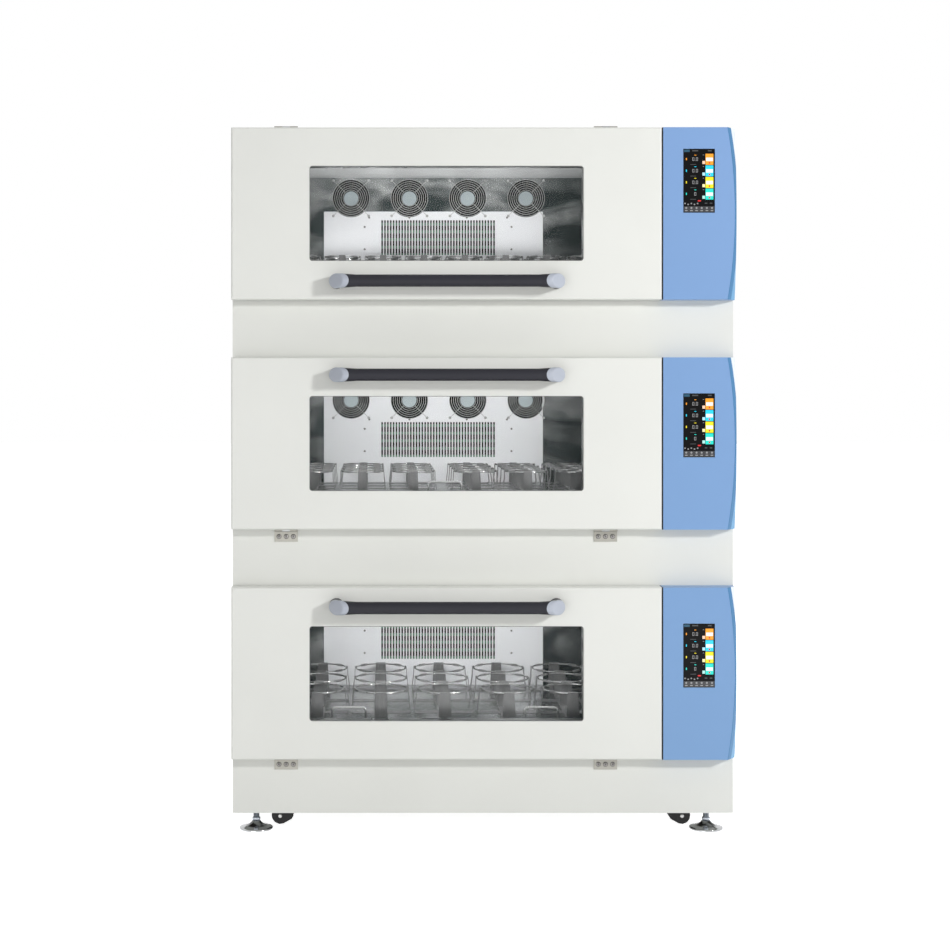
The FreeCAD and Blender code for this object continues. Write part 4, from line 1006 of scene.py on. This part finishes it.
CLAMPS = {
    "bottom": {"foot": 82, "ring": 72, "height": 70, "leg": 36, "tip": 28, "wire": 2.0, "spring": 3.0},
    "middle": {"foot": 64, "ring": 56, "height": 60, "leg": 25, "tip": 21, "wire": 1.8, "spring": 2.7},
    "top": {"foot": 52, "ring": 47, "height": 38, "leg": 22, "tip": 17, "wire": 1.5, "spring": 2.3},
}
CLAMP_ROWS = {"bottom": 3, "middle": 4, "top": 4}
CLAMP_COLUMNS = {"bottom": 5, "top": 8}
MIDDLE_FIRST = 84 * MM
MIDDLE_PITCH = 138.6 * MM
STRIP_THICK = 1.3 * MM
BOLT_PROFILE = ((0, 6), (2.6, 6), (3.4, 4.6))
SPRING_HALF = 11 * MM
SPRING_TURNS = 8
SPRING_WIRE = 0.8 * MM
COLLAR_PROFILE = ((-2, 0.4), (-1, 0.95), (1, 0.95), (2, 0.4))


def add_leg(shape, sizes, turn):
    """A strip from the middle of the base, bent up and leaning in, its tip rolled over the ring."""
    foot, ring, height, wire = sizes["foot"], sizes["ring"], sizes["height"], sizes["wire"]
    roll = wire + STRIP_THICK
    path = [(0, STRIP_THICK / 2), (foot - 8 * MM, STRIP_THICK / 2), (foot - 2.5 * MM, 2 * MM),
            (foot - MM, 7 * MM), (ring + (foot - ring) * 0.4, height * 0.6),
            (ring + roll * 0.9, height - 2.2 * roll)]
    for step in range(1, 6):
        turned = math.radians(30 * step)
        path.append((ring + roll * math.cos(turned), height - 1.6 * roll + roll * math.sin(turned)))
    rings = []
    for index, (out, up) in enumerate(path):
        wide = sizes["leg"] + (sizes["tip"] - sizes["leg"]) * min(max(up / height, 0), 1)
        before = path[max(index - 1, 0)]
        after = path[min(index + 1, len(path) - 1)]
        along = Vector((after[0] - before[0], after[1] - before[1])).normalized()
        offset = Vector((-along.y, along.x)) * STRIP_THICK / 2
        rings.append([turn @ Vector((out + offset.x * lift, side * wide / 2,
                                     max(up + offset.y * lift, 0.05 * MM)))
                      for side, lift in ((-1, -1), (1, -1), (1, 1), (-1, 1))])
    skin(shape, rings)


def add_springs(shape, sizes, height):
    """Short coils on the ring half way between the legs, each between two collars."""
    ring, reach = sizes["ring"], sizes["spring"]
    half_span = SPRING_HALF / ring
    steps = SPRING_TURNS * 8
    for quarter in range(4):
        middle = math.radians(45 + 90 * quarter)
        coil = []
        for step in range(steps + 1):
            share = step / steps
            at = middle + half_span * (2 * share - 1)
            out = Vector((math.cos(at), math.sin(at), 0))
            angle = math.tau * SPRING_TURNS * share
            coil.append(out * (ring + reach * math.sin(angle))
                        + Vector((0, 0, height + reach * math.cos(angle))))
        tube(shape, coil, SPRING_WIRE, 5)
        for side in (-1, 1):
            at = middle + side * half_span * 1.15
            out = Vector((math.cos(at), math.sin(at), 0))
            collar = [(along * MM, share * reach) for along, share in COLLAR_PROFILE]
            lathe(shape, collar, out * ring + Vector((0, 0, height)), (-out.y, out.x, 0), 12)


def clamp_places(unit):
    """Centres of the clamps, from the extent of their solids and their number or pitch."""
    low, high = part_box(f"flask_clamps_{unit}")
    reach = CLAMPS[unit]["foot"] * MM
    first = Vector((low.x + reach, low.y + reach, low.z))
    last = Vector((high.x - reach, high.y - reach, low.z))
    if unit == "middle":
        centre = (first.x + last.x) / 2
        columns = [centre + side * (MIDDLE_FIRST + index * MIDDLE_PITCH)
                   for side in (-1, 1) for index in range(3)]
    else:
        gaps = CLAMP_COLUMNS[unit] - 1
        columns = [first.x + (last.x - first.x) * index / gaps for index in range(gaps + 1)]
    gaps = CLAMP_ROWS[unit] - 1
    rows = [first.y + (last.y - first.y) * row / gaps for row in range(gaps + 1)]
    return [Vector((x, y, low.z)) for x in columns for y in rows]


def flask_clamps(unit):
    """Strips, rings and springs of the clamps of a tray."""
    sizes = {key: value * MM for key, value in CLAMPS[unit].items()}
    height = sizes["height"] - 1.6 * (sizes["wire"] + STRIP_THICK)
    strips = bmesh.new()
    wires = bmesh.new()
    springs = bmesh.new()
    for quarter in range(4):
        add_leg(strips, sizes, Matrix.Rotation(math.radians(90 * quarter), 3, "Z"))
    lathe(strips, in_mm(BOLT_PROFILE), (0, 0, STRIP_THICK), (0, 0, 1), 6)
    ring_wire(wires, (0, 0, height), sizes["ring"], sizes["wire"], (1, 0, 0), (0, 1, 0))
    add_springs(springs, sizes, height)
    places = clamp_places(unit)
    body = f"platform_{unit}"
    strips, wires, springs = [add_copies(bmesh.new(), single, places)
                              for single in (strips, wires, springs)]
    add_object(f"clamp_strips_{unit}", strips, STRIP, body, (f"flask_clamps_{unit}",), 40)
    add_object(f"clamp_rings_{unit}", wires, WIRE, body, smooth=70)
    add_object(f"clamp_springs_{unit}", springs, SPRING, body, smooth=80)


# Feet and casters

FOOT_DISC = ((0, 1), (1, 0), (4, 0), (5.5, 1.2), (7, 5))
FOOT_CONE = ((9, 29), (10, 26), (13, 20), (18, 14), (23, 10.5), (24, 8.5))
FOOT_COLLAR = ((24, 8.6), (25.5, 11), (28, 11.5), (30.5, 11), (32, 8.6))
THREAD_START = 22 * MM
THREAD_PITCH = 2 * MM
THREAD_ROOT = 7.6 * MM
THREAD_CREST = 8.5 * MM


def levelling_foot(number):
    """Chromed disc that sweeps up to a neck, with a collar and a threaded stem."""
    node = f"levelling_foot_{number}"
    low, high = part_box(node)
    centre = ((low.x + high.x) / 2, (low.y + high.y) / 2, low.z)
    radius = (high.x - low.x) / 2
    shape = bmesh.new()
    disc = [(rise * MM, radius - inset * MM) for rise, inset in FOOT_DISC]
    lathe(shape, disc + in_mm(FOOT_CONE), centre, (0, 0, 1), 56)
    lathe(shape, in_mm(FOOT_COLLAR), centre, (0, 0, 1), 24)
    thread = []
    for index in range(int((high.z - low.z - THREAD_START) / THREAD_PITCH)):
        start = THREAD_START + index * THREAD_PITCH
        thread += [(start, THREAD_ROOT), (THREAD_START + (index + 0.5) * THREAD_PITCH, THREAD_CREST)]
    lathe(shape, thread, centre, (0, 0, 1), 32)
    add_object(f"foot_{number}", shape, PAINTED_REFLECTION_CHROME, f"foot_{number}", (node,), 40)


HOOD = ((-13, 30), (-22, 4), (-20, -8), (-13, -17), (-2, -21.5), (9, -20), (31, -8), (36, 0), (37, 30))
CROWN_PROFILE = ((0, 26), (1, 28), (2, 28), (3, 26))
CROWN_DROP = 12 * MM
KING_OFFSET = 23 * MM
KING_RADIUS = 5 * MM
FORK_PLATE = 3 * MM
WHEEL_GAP = 1.5 * MM
AXLE_RADIUS = 3.4 * MM
AXLE_CAP = ((-2.2, 1), (-1.9, 3.2), (-1.1, 4.8), (0, 5.4), (1, 5.4))
TYRE_ROUND = 6 * MM


def caster_fork(number):
    """Round crown, two hooded cheeks, the axle and its chrome cap on a swivelling pin."""
    node = f"caster_fork_{number}"
    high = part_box(node)[1]
    wheel_low, wheel_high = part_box(f"caster_wheel_{number}")
    axle = (wheel_low + wheel_high) / 2
    inward = -1 if axle.x > 0 else 1
    half = (wheel_high.y - wheel_low.y) / 2 + WHEEL_GAP
    reach = half + FORK_PLATE
    crown_low = max(high.z - CROWN_DROP, wheel_high.z + WHEEL_GAP)
    shape = bmesh.new()
    king = Vector((axle.x + inward * KING_OFFSET, axle.y, crown_low))
    lathe(shape, in_mm(CROWN_PROFILE), king, (0, 0, 1), 40)
    lathe(shape, [(0, KING_RADIUS), (high.z - crown_low, KING_RADIUS)], king, (0, 0, 1), 20)
    for side in (-1, 1):
        ring = [(axle.x + inward * x * MM, min(axle.z + z * MM, crown_low + MM)) for x, z in HOOD]
        skin(shape, [[Vector((x, axle.y + side * out, z)) for x, z in ring] for out in (half, reach)])
    lathe(shape, [(-reach, AXLE_RADIUS), (reach, AXLE_RADIUS)], axle, (0, 1, 0), 20)
    add_object(f"fork_{number}", shape, FORK, f"swivel_{number}", (node,), 40)
    cap = bmesh.new()
    lathe(cap, in_mm(AXLE_CAP), (axle.x, axle.y - reach, axle.z), (0, 1, 0), 28)
    add_object(f"axle_cap_{number}", cap, GUARD, f"swivel_{number}", smooth=50)


def caster_wheel(number):
    """Round-shouldered tyre on a grey hub."""
    node = f"caster_wheel_{number}"
    low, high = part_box(node)
    centre = (low + high) / 2
    flat = (high.z - low.z) / 2 - TYRE_ROUND
    half = (high.y - low.y) / 2
    turns = [math.radians(15 * step - 90) for step in range(13)]
    shape = bmesh.new()
    round_face = [(math.sin(turn) * half, flat + TYRE_ROUND * math.cos(turn)) for turn in turns]
    lathe(shape, round_face, centre, (0, 1, 0))
    add_object(f"tyre_{number}", shape, TYRE, f"wheel_{number}", (node,), 40)
    hub = bmesh.new()
    profile = ((-half - 0.3 * MM, 8 * MM), (-half + 0.2 * MM, 13 * MM), (half - 0.2 * MM, 13 * MM),
               (half + 0.3 * MM, 8 * MM))
    lathe(hub, profile, centre, (0, 1, 0), 32)
    add_object(f"wheel_hub_{number}", hub, IRON, f"wheel_{number}", smooth=40)


# Rear

INLET_X = 520 * MM
INLET_LOW = 70 * MM
INLET_WIDE = 50 * MM
INLET_TALL = 34 * MM
INLET_WALL = 4 * MM
INSERT_THICK = 2 * MM
BLADES = ((-7, 0), (7, 0), (0, 5))
BLADE_HALF = (1 * MM, 3 * MM)
BLADE_FRONT = 2.5 * MM
BLADE_LONG = 2.3 * MM
PANEL_SINK = 6 * MM
PANEL_MARGIN = 14 * MM
PANEL_SCREW = 4 * MM
LOUVRE_CENTRES = (-300 * MM, 300 * MM)
LOUVRE_HALF = 157 * MM
LOUVRE_LOW = 60 * MM
LOUVRE_PITCH = 18 * MM
LOUVRE_COUNT = 6
LOUVRE_GAP = 3.5 * MM


def rear_details(unit):
    """Inlet insert with its blades, dark strips of painted shade in the gaps under the louvres, and the
    screws of the rear panel.
    """
    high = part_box(f"cabinet_{unit}")[1]
    base = high.z - UNIT_PITCH
    panel_y = high.y - PANEL_SINK
    half = INLET_WIDE / 2 - INLET_WALL
    dark = bmesh.new()
    add_box(dark, (INLET_X - half, panel_y + MM, base + INLET_LOW + INLET_WALL),
            (INLET_X + half, panel_y + MM + INSERT_THICK, base + INLET_LOW + INLET_TALL - INLET_WALL),
            0.8 * MM)
    # painted shade: dark strips in the gaps under the louvres
    for centre in LOUVRE_CENTRES:
        for index in range(LOUVRE_COUNT):
            lip = base + LOUVRE_LOW + index * LOUVRE_PITCH
            add_box(dark, (centre - LOUVRE_HALF, panel_y - 0.2 * MM, lip - LOUVRE_GAP),
                    (centre + LOUVRE_HALF, panel_y + 0.3 * MM, lip - 0.2 * MM))
    add_object(f"inlet_insert_and_louvre_shade_{unit}", dark, DARK_AND_SHADE, "root")
    blades = bmesh.new()
    for across, up in BLADES:
        x = INLET_X + across * MM
        z = base + INLET_LOW + INLET_TALL / 2 + up * MM
        wide, tall = BLADE_HALF
        add_box(blades, (x - wide, panel_y + BLADE_FRONT, z - tall),
                (x + wide, panel_y + BLADE_FRONT + BLADE_LONG, z + tall), 0.3 * MM)
    add_object(f"inlet_blades_{unit}", blades, SCREW, "root")
    places = [(share * (high.x - PANEL_MARGIN), panel_y, base + z) for share in (-1, -0.33, 0.33, 1)
              for z in (30 * MM, UNIT_PITCH - PANEL_MARGIN)]
    add_screws(f"rear_screws_{unit}", places, (0, 1, 0), PANEL_SCREW)


# Surroundings

WORLD_LIGHT = 0.37
FLOOR_GLOW = 0.85


def stage():
    """Pale floor that shows white to the camera but keeps the object's shadow."""
    shape = bmesh.new()
    add_box(shape, (-30, -30, -0.02), (30, 30, 0))
    floor = in_scene("floor", mesh_of("floor", shape))
    look = Look("floor_white")
    floor.data.materials.append(look.set({
        "Base Color": (0.86, 0.86, 0.86), "Roughness": 0.7, "Emission Color": (1, 1, 1),
        "Emission Strength": look.maths("MULTIPLY", look.seen_rays(), FLOOR_GLOW)}))


def world():
    """White studio: full white where it is seen, softer where it lights."""
    scene_world = bpy.data.worlds.new("studio")
    bpy.context.scene.world = scene_world
    scene_world.use_nodes = True
    nodes = Nodes(scene_world.node_tree)
    back = nodes.tree.nodes["Background"].inputs
    nodes.feed(back["Color"], (1, 1, 1))
    nodes.feed(back["Strength"], nodes.spread(nodes.seen_rays(), WORLD_LIGHT, 1.0, 0, 1))


def softbox(name, place, target, width, height, power, mirrored=True):
    """A lamp with a rectangular face turned to its target."""
    data = bpy.data.lights.new(name, "AREA")
    data.shape = "RECTANGLE"
    data.size = width
    data.size_y = height
    data.energy = power
    lamp = in_scene(name, data)
    lamp.location = place
    lamp.rotation_euler = (Vector(target) - Vector(place)).to_track_quat("-Z", "Y").to_euler()
    lamp.visible_glossy = mirrored
    return lamp


MIDDLE = (0, 0, 0.95)
STUDIO = (
    ("key", (3.6, -4.1, 2.6), (0, FACE_Y, 1.0), 0.5, 0.5, 140),
    ("fill", (-2.0, -5.0, 1.0), MIDDLE, 3.0, 2.0, 32),
    ("left", (-4.0, 4.0, 2.2), MIDDLE, 2.2, 2.2, 80, False),
    ("top", (0, 1.2, 5.0), (0, 0, 1.9), 2.0, 2.0, 45, False),
    ("rear", (2.6, 5.0, 2.8), MIDDLE, 2.2, 2.2, 100, False),
)
LAMP_LONG = 0.8
STRIP_WIDE = 0.03
STRIP_INSET = 60 * MM
STRIP_DROP = 12 * MM
STRIP_POWER = {"bottom": 4.0, "middle": 4.0, "top": 1.4}
CEILING_LAMP = {"wide": 0.3, "back": 100 * MM, "drop": 230 * MM, "power": 1.5}


def lights():
    """A small key from the upper right front, broad fills, and a strip above each window.

    The strips hide behind the door frames. The top chamber, seen from below, has one more
    for its ceiling, which the camera doesn't see.
    """
    for lamp in STUDIO:
        softbox(*lamp)
    for unit in UNITS:
        low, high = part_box(f"chamber_{unit}")
        place = (DOOR_CENTRE, low.y + STRIP_INSET, high.z - STRIP_DROP)
        target = (DOOR_CENTRE, high.y - STRIP_INSET, low.z + STRIP_INSET)
        softbox(f"chamber_lamp_{unit}", place, target, LAMP_LONG, STRIP_WIDE, STRIP_POWER[unit], False)
    back = (low.y + high.y) / 2 + CEILING_LAMP["back"]
    place = Vector((DOOR_CENTRE, back, high.z - CEILING_LAMP["drop"]))
    above = place + Vector((0, 0, 1))
    ceiling = softbox("ceiling_lamp_top", place, above, LAMP_LONG, CEILING_LAMP["wide"],
                      CEILING_LAMP["power"], False)
    ceiling.visible_camera = False


PICTURE = 950
DISTANCE = 4.5
METRES_PER_PIXEL = 2.628 * MM
AXIS_PIXEL = (378, 385)
AXIS_X = -278.6 * MM
AXIS_Z = 1197.3 * MM


def camera():
    """The photograph's view: level, square to the doors, framed by a shift."""
    data = bpy.data.cameras.new("view")
    data.sensor_width = 36
    data.lens = data.sensor_width * DISTANCE / (PICTURE * METRES_PER_PIXEL)
    data.shift_x = (PICTURE / 2 - AXIS_PIXEL[0]) / PICTURE
    data.shift_y = (AXIS_PIXEL[1] - PICTURE / 2) / PICTURE
    eye = in_scene("view", data)
    eye.location = (AXIS_X, FACE_Y - DISTANCE, AXIS_Z)
    eye.rotation_euler = (math.radians(90), 0, 0)
    bpy.context.scene.camera = eye


def build():
    """Makes every piece, then the surroundings."""
    dress_frame()
    for unit in UNITS:
        for make in (door_handle, window_trim, cover_trim, tray, flask_clamps, rear_details):
            make(unit)
    hinge_screws()
    touch_screens()
    back_walls()
    fans()
    for number in FOUR:
        levelling_foot(number)
        caster_fork(number)
        caster_wheel(number)
    stage()
    world()
    lights()
    camera()
    bpy.context.scene.view_settings.view_transform = "Standard"


build()
